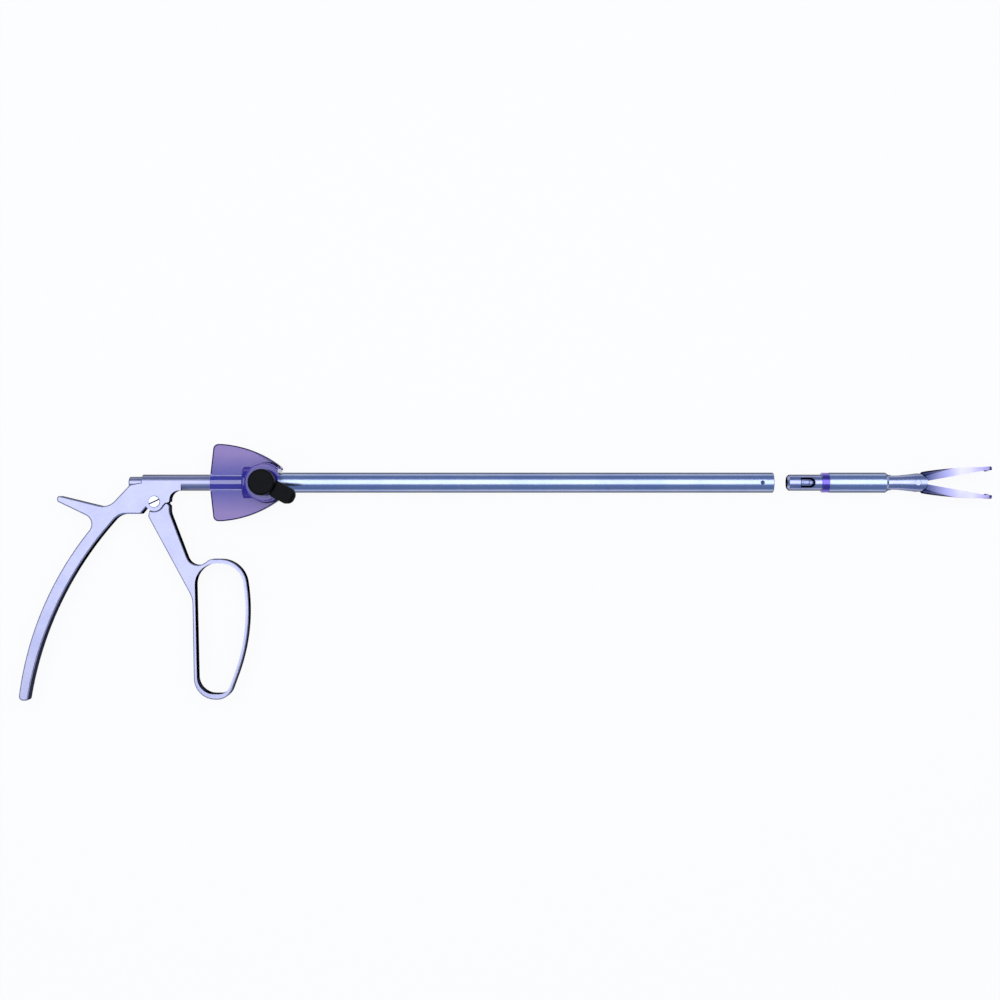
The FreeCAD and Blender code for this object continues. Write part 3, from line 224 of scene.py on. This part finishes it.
@dataclass(frozen=True)
class Steel:
    """Stainless steel: cast and bead-blasted, drawn, turned or polished.

    The grain gives fine bump and gloss changes, and slow clouds give the faint blue and
    lavender shifts of a passivated instrument. Painted shade: the colour is mixed towards a
    dark edge colour where a surface turns away from the view, standing in for the dark edges
    that the lighting leaves on the steel. Bands lay a colour over a stretch of the
    length: each is a colour, where it starts and where it is full.
    """

    name: str
    color: str
    shade: str
    polish: Polish
    grain: Grain
    grit: float
    depth: float
    bands: tuple[tuple[str, float, float], ...] = ()
    # painted shade: dark edge colours, and the facing range over which they take over
    painted_edge_shade_color: str = "#3c4160"
    painted_edge_shade_tone: str = "#353a58"
    grazing_tint: str = "#0c0d16"
    painted_edge_shade_start: float = 0.28
    painted_edge_shade_full: float = 0.95
    cloud_size: float = 14 * MM
    cloud_range: tuple[float, float] = (0.35, 0.65)
    wear_size: float = 1.6 * MM
    wear_range: tuple[float, float] = (0.3, 0.7)
    gloss_spread: float = 0.02

    def make(self) -> bpy.types.Material:
        """Build the material.

        Returns:
            The finished material.
        """
        material, tree, surface = new_material(self.name)
        where = place_coordinates(tree, self.grain)
        flat = place_coordinates(tree)
        grit = add_noise(tree, where, self.grit, Detail=3.0, Roughness=0.6)
        cloud = add_noise(tree, flat, self.cloud_size, Detail=2.0)
        wear = add_noise(tree, flat, self.wear_size, Detail=4.0, Roughness=0.7)
        spread = self.gloss_spread
        polish = self.polish.value
        rough = add_node(
            tree, "Math", {"operation": "ADD"},
            i0=remap(tree, grit, -spread, spread),
            i1=remap(tree, wear, polish - spread, polish + spread, *self.wear_range))
        bump = add_node(tree, "Bump", Height=grit, Strength=0.35, Distance=self.depth)
        tone = remap(tree, cloud, 0.0, 1.0, *self.cloud_range)
        skin = mix_colors(tree, tone, self.color, self.shade)
        along = add_node(tree, "SeparateXYZ", Vector=flat).outputs["X"]
        for color, start, full in self.bands:
            skin = mix_colors(tree, remap(tree, along, 0.0, 1.0, start, full), skin, color)
        # painted shade: the dark edge colour, which takes over where a surface faces away from
        # the view
        painted_edge_shade = mix_colors(tree, tone, self.painted_edge_shade_color, self.painted_edge_shade_tone)
        bare, painted_edge_shader = (
            add_node(tree, "BsdfPrincipled", Base_Color=color, Metallic=1.0,
                     Roughness=rough.outputs[0], Specular_Tint=linear(self.grazing_tint),
                     Normal=bump.outputs["Normal"])
            for color in (skin, painted_edge_shade))
        # painted shade grows as the surface faces away from the view
        facing = add_node(tree, "LayerWeight", Blend=0.5)
        share = add_node(tree, "MapRange", {"interpolation_type": "SMOOTHSTEP"},
                         Value=facing.outputs["Facing"],
                         From_Min=self.painted_edge_shade_start, From_Max=self.painted_edge_shade_full)
        mixed = add_node(tree, "MixShader", Fac=share.outputs["Result"],
                         i1=bare.outputs[0], i2=painted_edge_shader.outputs[0])
        tree.links.new(mixed.outputs[0], surface)
        return material


@dataclass(frozen=True)
class TintedPolycarbonate:
    """Translucent purple polycarbonate, injection moulded and glossy.

    Light passes the thin wings, so they look lavender, and gets lost in the thick hub,
    which looks indigo.
    """

    name: str = "tinted_polycarbonate"
    wing: str = "#8a6bb4"
    hub: str = "#301ea2"
    hub_reach: float = 5.0 * MM
    wing_reach: float = 15 * MM
    drift: float = 1.2 * MM
    swirl_size: float = 9 * MM
    peel_size: float = 1.1 * MM
    ior: float = 1.585
    gloss: float = 0.3
    gloss_ior: float = 1.5

    def make(self) -> bpy.types.Material:
        """Build the material.

        Returns:
            The finished material.
        """
        material, tree, surface = new_material(self.name)
        where = place_coordinates(tree)
        axes = add_node(tree, "SeparateXYZ", Vector=where)
        reach = add_node(tree, "Math", {"operation": "ABSOLUTE"}, i0=axes.outputs["Y"])
        swirl = add_noise(tree, where, self.swirl_size, Detail=2.0)
        drifted = add_node(tree, "Math", {"operation": "ADD"}, i0=reach.outputs[0],
                           i1=remap(tree, swirl, -self.drift, self.drift))
        thin = remap(tree, drifted.outputs[0], 0.0, 1.0, self.hub_reach, self.wing_reach)
        orange_peel = add_noise(tree, where, self.peel_size, Detail=1.0)
        bump = add_node(tree, "Bump", Height=orange_peel, Strength=0.12, Distance=0.03 * MM)
        shader = add_node(
            tree, "BsdfPrincipled",
            Base_Color=mix_colors(tree, thin, self.hub, self.wing),
            Roughness=remap(tree, orange_peel, 0.08, 0.16),
            IOR=self.ior,
            Transmission_Weight=0.12,
            Coat_Weight=self.gloss,
            Coat_Roughness=0.04,
            Coat_IOR=self.gloss_ior,
            Normal=bump.outputs["Normal"],
        )
        tree.links.new(shader.outputs[0], surface)
        return material


@dataclass(frozen=True)
class SiliconeRubber:
    """Silicone rubber, compression moulded: matte, faintly dusty, with a soft sheen."""

    name: str
    color: str = "#050506"
    dust: str = "#100f11"
    dust_most: float = 0.45
    patch_size: float = 4 * MM
    patch_range: tuple[float, float] = (0.45, 0.8)
    skin_size: float = 0.5 * MM

    def make(self) -> bpy.types.Material:
        """Build the material.

        Returns:
            The finished material.
        """
        material, tree, surface = new_material(self.name)
        where = place_coordinates(tree)
        skin = add_noise(tree, where, self.skin_size, Detail=4.0, Roughness=0.7)
        patch = add_noise(tree, where, self.patch_size, Detail=3.0)
        dusty = remap(tree, patch, 0.0, self.dust_most, *self.patch_range)
        bump = add_node(tree, "Bump", Height=skin, Strength=0.25, Distance=0.04 * MM)
        shader = add_node(
            tree, "BsdfPrincipled",
            Base_Color=mix_colors(tree, dusty, self.color, self.dust),
            Roughness=remap(tree, skin, 0.42, 0.62),
            IOR=1.2,
            Normal=bump.outputs["Normal"],
        )
        tree.links.new(shader.outputs[0], surface)
        return material


@dataclass(frozen=True)
class AnodisedRing:
    """Dyed anodised aluminium, turned: a deep purple metal with fine turning lines."""

    name: str = "anodised_ring"
    color: str = "#7a66c8"
    shade: str = "#5f4db4"
    line_size: float = 0.25 * MM

    def make(self) -> bpy.types.Material:
        """Build the material.

        Returns:
            The finished material.
        """
        material, tree, surface = new_material(self.name)
        where = place_coordinates(tree, Grain.AROUND_SHAFT)
        lines = add_noise(tree, where, self.line_size, Detail=2.0)
        bump = add_node(tree, "Bump", Height=lines, Strength=0.3, Distance=0.01 * MM)
        shader = add_node(
            tree, "BsdfPrincipled",
            Base_Color=mix_colors(tree, lines, self.color, self.shade),
            Metallic=1.0,
            Roughness=remap(tree, lines, 0.18, 0.28),
            Coat_Weight=0.4,
            Normal=bump.outputs["Normal"],
        )
        tree.links.new(shader.outputs[0], surface)
        return material


@dataclass(frozen=True)
class SlidingPolymer:
    """Off-white sliding polymer of the rod guides, turned from bar and slightly waxy."""

    name: str = "sliding_polymer"
    color: str = "#e9e6db"
    shade: str = "#d9d4c4"
    line_size: float = 0.4 * MM

    def make(self) -> bpy.types.Material:
        """Build the material.

        Returns:
            The finished material.
        """
        material, tree, surface = new_material(self.name)
        where = place_coordinates(tree, Grain.AROUND_SHAFT)
        lines = add_noise(tree, where, self.line_size, Detail=2.0)
        shader = add_node(
            tree, "BsdfPrincipled",
            Base_Color=mix_colors(tree, lines, self.color, self.shade),
            Roughness=remap(tree, lines, 0.4, 0.55),
            IOR=1.35,
            Subsurface_Weight=0.15,
            Subsurface_Scale=0.5 * MM,
        )
        tree.links.new(shader.outputs[0], surface)
        return material


@dataclass(frozen=True)
class Finishes:
    """Every finish of the instrument, built once."""

    casting: bpy.types.Material
    tube: bpy.types.Material
    tip: bpy.types.Material
    jaw: bpy.types.Material
    bright: bpy.types.Material
    dark_steel_and_painted_shade: bpy.types.Material
    knob: bpy.types.Material
    knob_painted_rim_shade: bpy.types.Material
    knob_hub: bpy.types.Material
    rubber: bpy.types.Material
    seal: bpy.types.Material
    ring: bpy.types.Material
    polymer: bpy.types.Material


def make_finishes() -> Finishes:
    """Build the materials.

    Returns:
        Every finish of the instrument.
    """
    # painted shadow: the jaws darken towards their root, where the fork shades them; the hook
    # band tints the tips violet
    painted_fork_shadow_band = ("#4e5480", 337 * MM, 321 * MM)
    hook_band = ("#78709e", 343 * MM, 353 * MM)
    return Finishes(
        casting=Steel("bead_blasted_casting", "#adaec7", "#a6a7c5", Polish.SATIN, Grain.EVEN,
                      grit=0.35 * MM, depth=0.010 * MM).make(),
        tube=Steel("drawn_steel_tube", "#b4bedd", "#a9b5da", Polish.DRAWN, Grain.ALONG_SHAFT,
                   grit=0.25 * MM, depth=0.001 * MM).make(),
        tip=Steel("turned_tip_steel", "#b3b7d4", "#a6abd0", Polish.TURNED, Grain.AROUND_SHAFT,
                  grit=0.3 * MM, depth=0.001 * MM).make(),
        jaw=Steel("milled_jaw_steel", "#b6b4dc", "#a8a4d4", Polish.TURNED, Grain.EVEN,
                  grit=0.3 * MM, depth=0.006 * MM, bands=(painted_fork_shadow_band, hook_band)).make(),
        bright=Steel("polished_steel", "#d2d4de", "#c6c8d4", Polish.BRIGHT, Grain.EVEN,
                     grit=0.3 * MM, depth=0.003 * MM).make(),
        # dark steel of the pusher, also used as painted shade in the screw's slot and in the
        # tip's bore and window
        dark_steel_and_painted_shade=Steel("blackened_steel_and_painted_shade", "#1a1b24", "#24252e", Polish.SATIN, Grain.EVEN,
                        grit=0.3 * MM, depth=0.003 * MM).make(),
        knob=TintedPolycarbonate().make(),
        # painted shade: the dark colour of the wings' rims and narrow sides
        knob_painted_rim_shade=TintedPolycarbonate("tinted_polycarbonate_painted_rim_shade", wing="#120a50",
                                      hub="#120a50", ior=1.2, gloss=0.0).make(),
        knob_hub=TintedPolycarbonate("tinted_polycarbonate_hub", gloss=1.0,
                                     gloss_ior=1.9).make(),
        rubber=SiliconeRubber("black_silicone").make(),
        seal=SiliconeRubber("grey_seal_rubber", "#1c1c20", "#2c2c30").make(),
        ring=AnodisedRing().make(),
        polymer=SlidingPolymer().make(),
    )


def deselect_all() -> None:
    """Leave edit mode and deselect every object."""
    if bpy.context.object and bpy.context.object.mode != "OBJECT":
        bpy.ops.object.mode_set(mode="OBJECT")
    bpy.ops.object.select_all(action="DESELECT")


def pick(piece: bpy.types.Object) -> None:
    """Select one object alone and make it active.

    Args:
        piece: The object.
    """
    deselect_all()
    piece.select_set(True)
    bpy.context.view_layer.objects.active = piece


def paint(piece: bpy.types.Object, material: bpy.types.Material) -> None:
    """Give a piece one material all over.

    Args:
        piece: The mesh object.
        material: Its finish.
    """
    piece.data.materials.clear()
    piece.data.materials.append(material)


def tint_faces(piece: bpy.types.Object, material: bpy.types.Material, test: FaceTest) -> None:
    """Give the faces that pass a test another finish.

    Args:
        piece: The mesh object.
        material: Finish of the chosen faces.
        test: Takes a face's centre and normal.
    """
    piece.data.materials.append(material)
    slot = len(piece.data.materials) - 1
    for face in piece.data.polygons:
        if test(face.center, face.normal):
            face.material_index = slot


def shade(piece: bpy.types.Object, crease: float = CREASE) -> None:
    """Shade a piece smooth, with its creases sharp and its flats kept flat.

    Args:
        piece: The mesh object.
        crease: Angle in degrees from which an edge looks sharp.
    """
    pick(piece)
    bpy.ops.mesh.customdata_custom_splitnormals_clear()
    bpy.ops.object.shade_smooth_by_angle(angle=math.radians(crease))
    weights = piece.modifiers.new("WeightedNormals", "WEIGHTED_NORMAL")
    weights.mode = "FACE_AREA"
    weights.keep_sharp = True
    bpy.ops.object.modifier_apply(modifier=weights.name)


def carve(piece: bpy.types.Object, tool: bpy.types.Object) -> None:
    """Cut a tool's volume out of a piece.

    Args:
        piece: The mesh object.
        tool: The object that is taken away, which stays in the scene.
    """
    pick(piece)
    cut = piece.modifiers.new("Carve", "BOOLEAN")
    cut.operation = "DIFFERENCE"
    cut.solver = "EXACT"
    cut.object = tool
    bpy.ops.object.modifier_apply(modifier=cut.name)


def add_rim(piece: bpy.types.Object, material: bpy.types.Material, width: float,
            on_top: FaceTest, on_rim: Callable[[Vector], bool]) -> int:
    """Give a flat region a narrow border with another finish.

    Args:
        piece: The mesh object.
        material: Finish of the border.
        width: Width of the border.
        on_top: Takes a face's centre and normal, and picks the region.
        on_rim: Takes a border face's centre, and picks what is painted.

    Returns:
        How many border faces were painted.
    """
    pick(piece)
    bpy.ops.object.mode_set(mode="EDIT")
    bpy.ops.mesh.select_mode(type="FACE")
    bpy.ops.object.mode_set(mode="OBJECT")
    for face in piece.data.polygons:
        face.select = on_top(face.center, face.normal)
    bpy.ops.object.mode_set(mode="EDIT")
    bpy.ops.mesh.inset(thickness=width, use_boundary=True, use_even_offset=False)
    bpy.ops.object.mode_set(mode="OBJECT")
    piece.data.materials.append(material)
    slot = len(piece.data.materials) - 1
    border = [face for face in piece.data.polygons
              if not face.select and on_top(face.center, face.normal) and on_rim(face.center)]
    for face in border:
        face.material_index = slot
    return len(border)


def round_normals(piece: bpy.types.Object, radii: Sequence[float],
                  slack: float = 0.06 * MM) -> None:
    """Shade the cylinders about the shaft axis of a turned piece as truly round.

    Args:
        piece: The mesh object.
        radii: Radii of its cylinders.
        slack: How far a corner may lie from a radius, which covers the facets.
    """
    mesh = piece.data
    normals = [Vector(corner.vector) for corner in mesh.corner_normals]
    for face in mesh.polygons:
        outward = Vector((0.0, face.center.y, face.center.z)).normalized()
        if abs(face.normal.dot(outward)) < ALIGNED:
            continue
        side = 1.0 if face.normal.dot(outward) > 0 else -1.0
        for corner in face.loop_indices:
            spot = mesh.vertices[mesh.loops[corner].vertex_index].co
            reach = Vector((0.0, spot.y, spot.z))
            if any(abs(reach.length - radius) < slack for radius in radii):
                normals[corner] = side * reach.normalized()
    mesh.normals_split_custom_set(normals)


def dressed_copy(node: str, body: str, material: bpy.types.Material,
                 edge: float = 0.08 * MM) -> bpy.types.Object:
    """Stand a merged and softly bevelled copy in for a CAD node.

    Args:
        node: Name of the CAD node.
        body: Body that the copy rides on.
        material: Finish of the copy.
        edge: Width of the broken edges, or 0 to leave them as the solid has them.

    Returns:
        The new piece.
    """
    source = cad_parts[node]
    mesh = source.data.copy()
    piece = bpy.data.objects.new(node + "_skin", mesh)
    bpy.context.scene.collection.objects.link(piece)
    pick(piece)
    bpy.ops.object.mode_set(mode="EDIT")
    bpy.ops.mesh.select_all(action="SELECT")
    bpy.ops.mesh.remove_doubles(threshold=MERGE_GAP)
    bpy.ops.mesh.dissolve_limited(angle_limit=FLAT_ANGLE)
    bpy.ops.object.mode_set(mode="OBJECT")
    if edge:
        bevel = piece.modifiers.new("BrokenEdges", "BEVEL")
        bevel.width = edge
        bevel.segments = 2
        bevel.limit_method = "ANGLE"
        bevel.angle_limit = SHARP_ANGLE
        bevel.use_clamp_overlap = True
        bpy.ops.object.modifier_apply(modifier=bevel.name)
    shade(piece)
    paint(piece, material)
    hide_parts(node)
    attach(piece, body)
    LOG.info("%s: %d faces", piece.name, len(piece.data.polygons))
    return piece


@dataclass
class Handle:
    """Handle casting with its plug, screw, seal and retaining ring."""

    body: str = "handle"
    screw_edge: float = 0.05 * MM
    slot_depth: float = 0.8 * MM
    slot_lip: float = 0.12 * MM

    def build(self, finishes: Finishes) -> None:
        """Dress the handle's pieces, with painted shade in the screw's slot.

        Args:
            finishes: The instrument's finishes.
        """
        dressed_copy("handle_body", self.body, finishes.casting, edge=0.0)
        dressed_copy("rear_plug", self.body, finishes.casting)
        screw = dressed_copy("pivot_screw", self.body, finishes.bright, self.screw_edge)
        top = max(vertex.co.z for vertex in screw.data.vertices)
        # painted shade: the faces inside the screw's slot are given dark steel
        tint_faces(screw, finishes.dark_steel_and_painted_shade, lambda centre, normal:
                   top - self.slot_depth < centre.z < top - self.slot_lip)
        paint(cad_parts["rod_seal"], finishes.seal)
        paint(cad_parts["swivel_ring"], finishes.bright)


@dataclass
class FingerLever:
    """Finger lever with its loop."""

    body: str = "lever"

    def build(self, finishes: Finishes) -> None:
        """Dress the lever."""
        dressed_copy("finger_lever", self.body, finishes.casting, edge=0.0)


@dataclass
class DriveTrain:
    """Pieces that carry the lever's stroke to the tip."""

    nodes: Sequence[str] = ("drive_block", "link_pin", "drive_rod")

    def build(self, finishes: Finishes) -> None:
        """Dress the block, the pin and the rod."""
        for node in self.nodes:
            paint(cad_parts[node], finishes.bright)


@dataclass
class Shaft:
    """Shaft tube with its bearing core and rod guides."""

    body: str = "shaft"
    tube_radii: Sequence[float] = (5.0 * MM, 4.6 * MM, 4.06 * MM)

    def build(self, finishes: Finishes) -> None:
        """Dress the shaft's pieces.

        Args:
            finishes: The instrument's finishes.
        """
        tube = dressed_copy("outer_tube", self.body, finishes.tube, edge=0.0)
        round_normals(tube, self.tube_radii)
        paint(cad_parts["knob_core"], finishes.bright)
        for node in ("rod_guide_1", "rod_guide_2"):
            paint(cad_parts[node], finishes.polymer)


@dataclass
class RotationKnob:
    """Winged knob with the flushing port, its strap and its cap."""

    body: str = "shaft"
    cap_body: str = "cap"
    cap_edge: float = 0.2 * MM
    painted_rim_width: float = 0.6 * MM
    rear_edge: float = -35.0 * MM
    nose_start: float = -20.4 * MM
    hub_radius: float = 4.4 * MM
    hub_skin: float = 0.3 * MM
    nose_radius: float = 8.3 * MM
    nose_slack: float = 0.2 * MM
    wing_half: float = 3.3 * MM
    wing_slack: float = 0.3 * MM
    port_x: float = -8.3 * MM
    strap_swing: float = math.radians(-28)
    strap_reach: float = 17.8 * MM
    strap_round: float = 4.05 * MM
    drum_sides: int = 128

    def is_wing_flat(self, centre: Vector, normal: Vector) -> bool:
        """True for a face on the flat sides of the wings."""
        return (abs(normal.z) > ALIGNED and abs(centre.z) < self.wing_half + self.wing_slack
                and abs(centre.y) > self.hub_radius)

    def is_outline(self, centre: Vector) -> bool:
        """True for a border face along the outline of the wings."""
        return abs(centre.y) > self.nose_radius + self.nose_slack or centre.x < self.rear_edge

    def is_wing_side(self, centre: Vector, normal: Vector) -> bool:
        """True for a face on the narrow sides of the wings."""
        return (abs(normal.z) < ALIGNED and abs(centre.z) < self.wing_half
                and abs(centre.y) > self.nose_radius)

    def is_hub_front(self, centre: Vector, normal: Vector) -> bool:
        """True for a face, whatever its normal, on the hub's round front between the wings."""
        return (centre.x < self.nose_start and abs(centre.y) < self.hub_radius and centre.z > 0
                and math.hypot(centre.y, centre.z) > self.hub_radius - self.hub_skin)

    def build_knob(self, finishes: Finishes) -> None:
        """Dress the knob, with painted shade as dark rims and dark narrow sides on its wings,
        and a glossy hub.

        Args:
            finishes: The instrument's finishes.
        """
        knob = dressed_copy("rotation_knob", self.body, finishes.knob, edge=0.0)
        # painted shade: a dark border along the wings' outline stands in for the darker look
        # of the plastic at its edges
        count = add_rim(knob, finishes.knob_painted_rim_shade, self.painted_rim_width, self.is_wing_flat,
                        self.is_outline)
        LOG.info("knob rim: %d faces", count)
        shade(knob)
        # painted shade on the wings' narrow sides
        tint_faces(knob, finishes.knob_painted_rim_shade, self.is_wing_side)
        tint_faces(knob, finishes.knob_hub, self.is_hub_front)

    def round_strap(self, strap: bpy.types.Object) -> None:
        """Round the strap's free end in plan, as the mould leaves it.

        Args:
            strap: The strap's merged copy.
        """
        heights = [vertex.co.z for vertex in strap.data.vertices]
        middle = (min(heights) + max(heights)) / 2
        along = Vector((math.cos(self.strap_swing), math.sin(self.strap_swing), 0.0))
        port = Vector((self.port_x, 0.0, middle))
        block_length = 3 * self.strap_round
        deselect_all()
        bpy.ops.mesh.primitive_cube_add(
            size=block_length, rotation=(0.0, 0.0, self.strap_swing),
            location=port + along * (self.strap_reach - self.strap_round + block_length / 2))
        block = bpy.context.object
        deselect_all()
        bpy.ops.mesh.primitive_cylinder_add(
            vertices=self.drum_sides, radius=self.strap_round, depth=2 * block_length,
            location=port + along * (self.strap_reach - self.strap_round))
        drum = bpy.context.object
        carve(block, drum)
        carve(strap, block)
        for tool in (block, drum):
            bpy.data.objects.remove(tool, do_unlink=True)

    def build(self, finishes: Finishes) -> None:
        """Dress the knob, the port, the strap and the cap.

        Args:
            finishes: The instrument's finishes.
        """
        self.build_knob(finishes)
        dressed_copy("flush_port", self.body, finishes.bright)
        strap = dressed_copy("cap_strap", self.body, finishes.rubber, edge=0.0)
        self.round_strap(strap)
        shade(strap)
        dressed_copy("port_cap", self.cap_body, finishes.rubber, self.cap_edge)


@dataclass
class Tip:
    """Detachable tip: plug, latch, ring, sleeve, pusher and jaws."""

    body: str = "tip"
    core_radii: Sequence[float] = (4.0 * MM, 3.85 * MM, 2.6 * MM)
    sleeve_radii: Sequence[float] = (5.0 * MM, 4.0 * MM)
    fine_edge: float = 0.05 * MM
    window_start: float = 252.6 * MM
    window_end: float = 268.0 * MM
    window_skin: float = 0.1 * MM
    end_face: float = 0.9

    def is_inside(self, centre: Vector, normal: Vector) -> bool:
        """Tell whether a face lies in the plug's bore or on the walls round its window.

        Args:
            centre: The face's centre.
            normal: The face's normal.

        Returns:
            True for such a face.
        """
        reach = math.hypot(centre.y, centre.z)
        along = self.window_start < centre.x < self.window_end
        return (along and reach < self.core_radii[0] - self.window_skin
                and abs(normal.x) < self.end_face)

    def build(self, finishes: Finishes) -> None:
        """Dress the tip's pieces, with the turned ones shaded round and painted shade on the
        walls of the plug's bore and window.

        Args:
            finishes: The instrument's finishes.
        """
        core = dressed_copy("tip_body", self.body, finishes.tip, edge=0.0)
        round_normals(core, self.core_radii)
        # painted shade: the walls of the plug's bore round its window are given dark steel
        tint_faces(core, finishes.dark_steel_and_painted_shade, self.is_inside)
        sleeve = dressed_copy("tip_sleeve", self.body, finishes.tube, edge=0.0)
        round_normals(sleeve, self.sleeve_radii)
        ring = dressed_copy("color_ring", self.body, finishes.ring, edge=0.0)
        round_normals(ring, self.sleeve_radii)
        dressed_copy("jaw_pin", self.body, finishes.tip, self.fine_edge)
        dressed_copy("latch_tongue", "latch", finishes.tip, self.fine_edge)
        dressed_copy("jaw_upper", "upper_jaw", finishes.jaw)
        dressed_copy("jaw_lower", "lower_jaw", finishes.jaw)
        paint(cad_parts["pusher"], finishes.dark_steel_and_painted_shade)
        paint(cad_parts["cam_pin"], finishes.bright)


@dataclass(frozen=True)
class Softbox:
    """Rectangular soft lamp, placed from the middle of the photograph."""

    name: str
    offset: tuple[float, float, float]
    width: float
    depth: float
    power: float
    color: str = "#ffffff"

    def build(self, middle: Vector) -> None:
        """Add the lamp, turned to the middle.

        Args:
            middle: Point that the lamp looks at.
        """
        data = bpy.data.lights.new(self.name, "AREA")
        data.shape = "RECTANGLE"
        data.size = self.width
        data.size_y = self.depth
        data.energy = self.power
        data.color = linear(self.color)[:3]
        lamp = bpy.data.objects.new(self.name, data)
        place = middle + Vector(self.offset)
        lamp.location = place
        lamp.rotation_euler = (middle - place).to_track_quat("-Z", "Y").to_euler()
        bpy.context.scene.collection.objects.link(lamp)


@dataclass
class Studio:
    """Pale floor, soft lamps and the camera of the photograph."""

    centre_x: float = 0.108
    centre_y: float = -0.008675
    camera_height: float = 0.8
    frame_width: float = PHOTO_PIXELS * PIXEL
    sensor: float = 36.0
    floor_size: float = 6.0
    floor_gap: float = 0.05 * MM
    floor_white: float = 0.92
    paper_color: str = "#f4f4f6"
    paper_shade: str = "#f8f8fa"
    fibre_size: float = 2 * MM
    sky_color: str = "#899ec4"
    sky_strength: float = 0.8
    lamps: Sequence[Softbox] = (
        Softbox("key_softbox", (0.0, 0.12, 0.95), width=1.6, depth=0.9, power=8.4),
        Softbox("fill_softbox", (-0.9, -0.7, 0.7), width=0.6, depth=0.6, power=0.8,
                color="#dfe4ff"),
    )

    def floor_material(self) -> bpy.types.Material:
        """Make white paper that looks white to the camera and in gloss, and takes shadow.

        Returns:
            The floor's material.
        """
        material, tree, surface = new_material("white_paper")
        fibre = add_noise(tree, place_coordinates(tree), self.fibre_size, Detail=3.0)
        paper = add_node(tree, "BsdfDiffuse",
                         Color=mix_colors(tree, fibre, self.paper_color, self.paper_shade))
        white = add_node(tree, "Emission", Color=(1.0, 1.0, 1.0, 1.0), Strength=1.0)
        path = add_node(tree, "LightPath")
        seen = path.outputs["Is Camera Ray"]
        for ray in ("Is Glossy Ray", "Is Transmission Ray"):
            seen = add_node(tree, "Math", {"operation": "MAXIMUM"}, i0=seen,
                            i1=path.outputs[ray]).outputs[0]
        share = add_node(tree, "Math", {"operation": "MULTIPLY"}, i0=seen, i1=self.floor_white)
        mixed = add_node(tree, "MixShader", Fac=share.outputs[0], i1=paper.outputs[0],
                         i2=white.outputs[0])
        tree.links.new(mixed.outputs[0], surface)
        return material

    def build_floor(self) -> None:
        """Add the floor just below the instrument."""
        lowest = CAD_BOX[0][2]
        deselect_all()
        bpy.ops.mesh.primitive_plane_add(
            size=self.floor_size, location=(self.centre_x, 0, lowest - self.floor_gap))
        floor = bpy.context.object
        floor.name = "floor"
        bpy.ops.object.transform_apply(location=True, rotation=False, scale=False)
        paint(floor, self.floor_material())

    def build_world(self) -> None:
        """Add the plain blue-grey world, which the steel mirrors."""
        world = bpy.data.worlds.new("studio")
        world.use_nodes = True
        tree = world.node_tree
        tree.nodes.clear()
        sky = add_node(tree, "Background", Color=linear(self.sky_color),
                       Strength=self.sky_strength)
        output = add_node(tree, "OutputWorld")
        tree.links.new(sky.outputs[0], output.inputs["Surface"])
        bpy.context.scene.world = world

    def build_camera(self) -> None:
        """Add the camera, square above the side of the instrument."""
        data = bpy.data.cameras.new("photo_camera")
        data.sensor_width = self.sensor
        data.lens = self.sensor * self.camera_height / self.frame_width
        data.clip_start = 0.01
        data.clip_end = 20
        camera = bpy.data.objects.new("photo_camera", data)
        camera.location = (self.centre_x, self.centre_y, self.camera_height)
        bpy.context.scene.collection.objects.link(camera)
        bpy.context.scene.camera = camera

    def build(self) -> None:
        """Add the floor, the lamps, the world and the camera."""
        self.build_floor()
        middle = Vector((self.centre_x, 0.0, 0.0))
        for lamp in self.lamps:
            lamp.build(middle)
        self.build_world()
        self.build_camera()
        bpy.context.scene.view_settings.view_transform = "Standard"


def main() -> None:
    """Build the instrument's sub-assemblies and the studio in order."""
    logging.basicConfig(level=logging.INFO)
    finishes = make_finishes()
    for part in (Handle(), FingerLever(), DriveTrain(), Shaft(), RotationKnob(), Tip()):
        part.build(finishes)
        LOG.info("built %s", type(part).__name__)
    Studio().build()


if __name__ == "__main__":
    main()
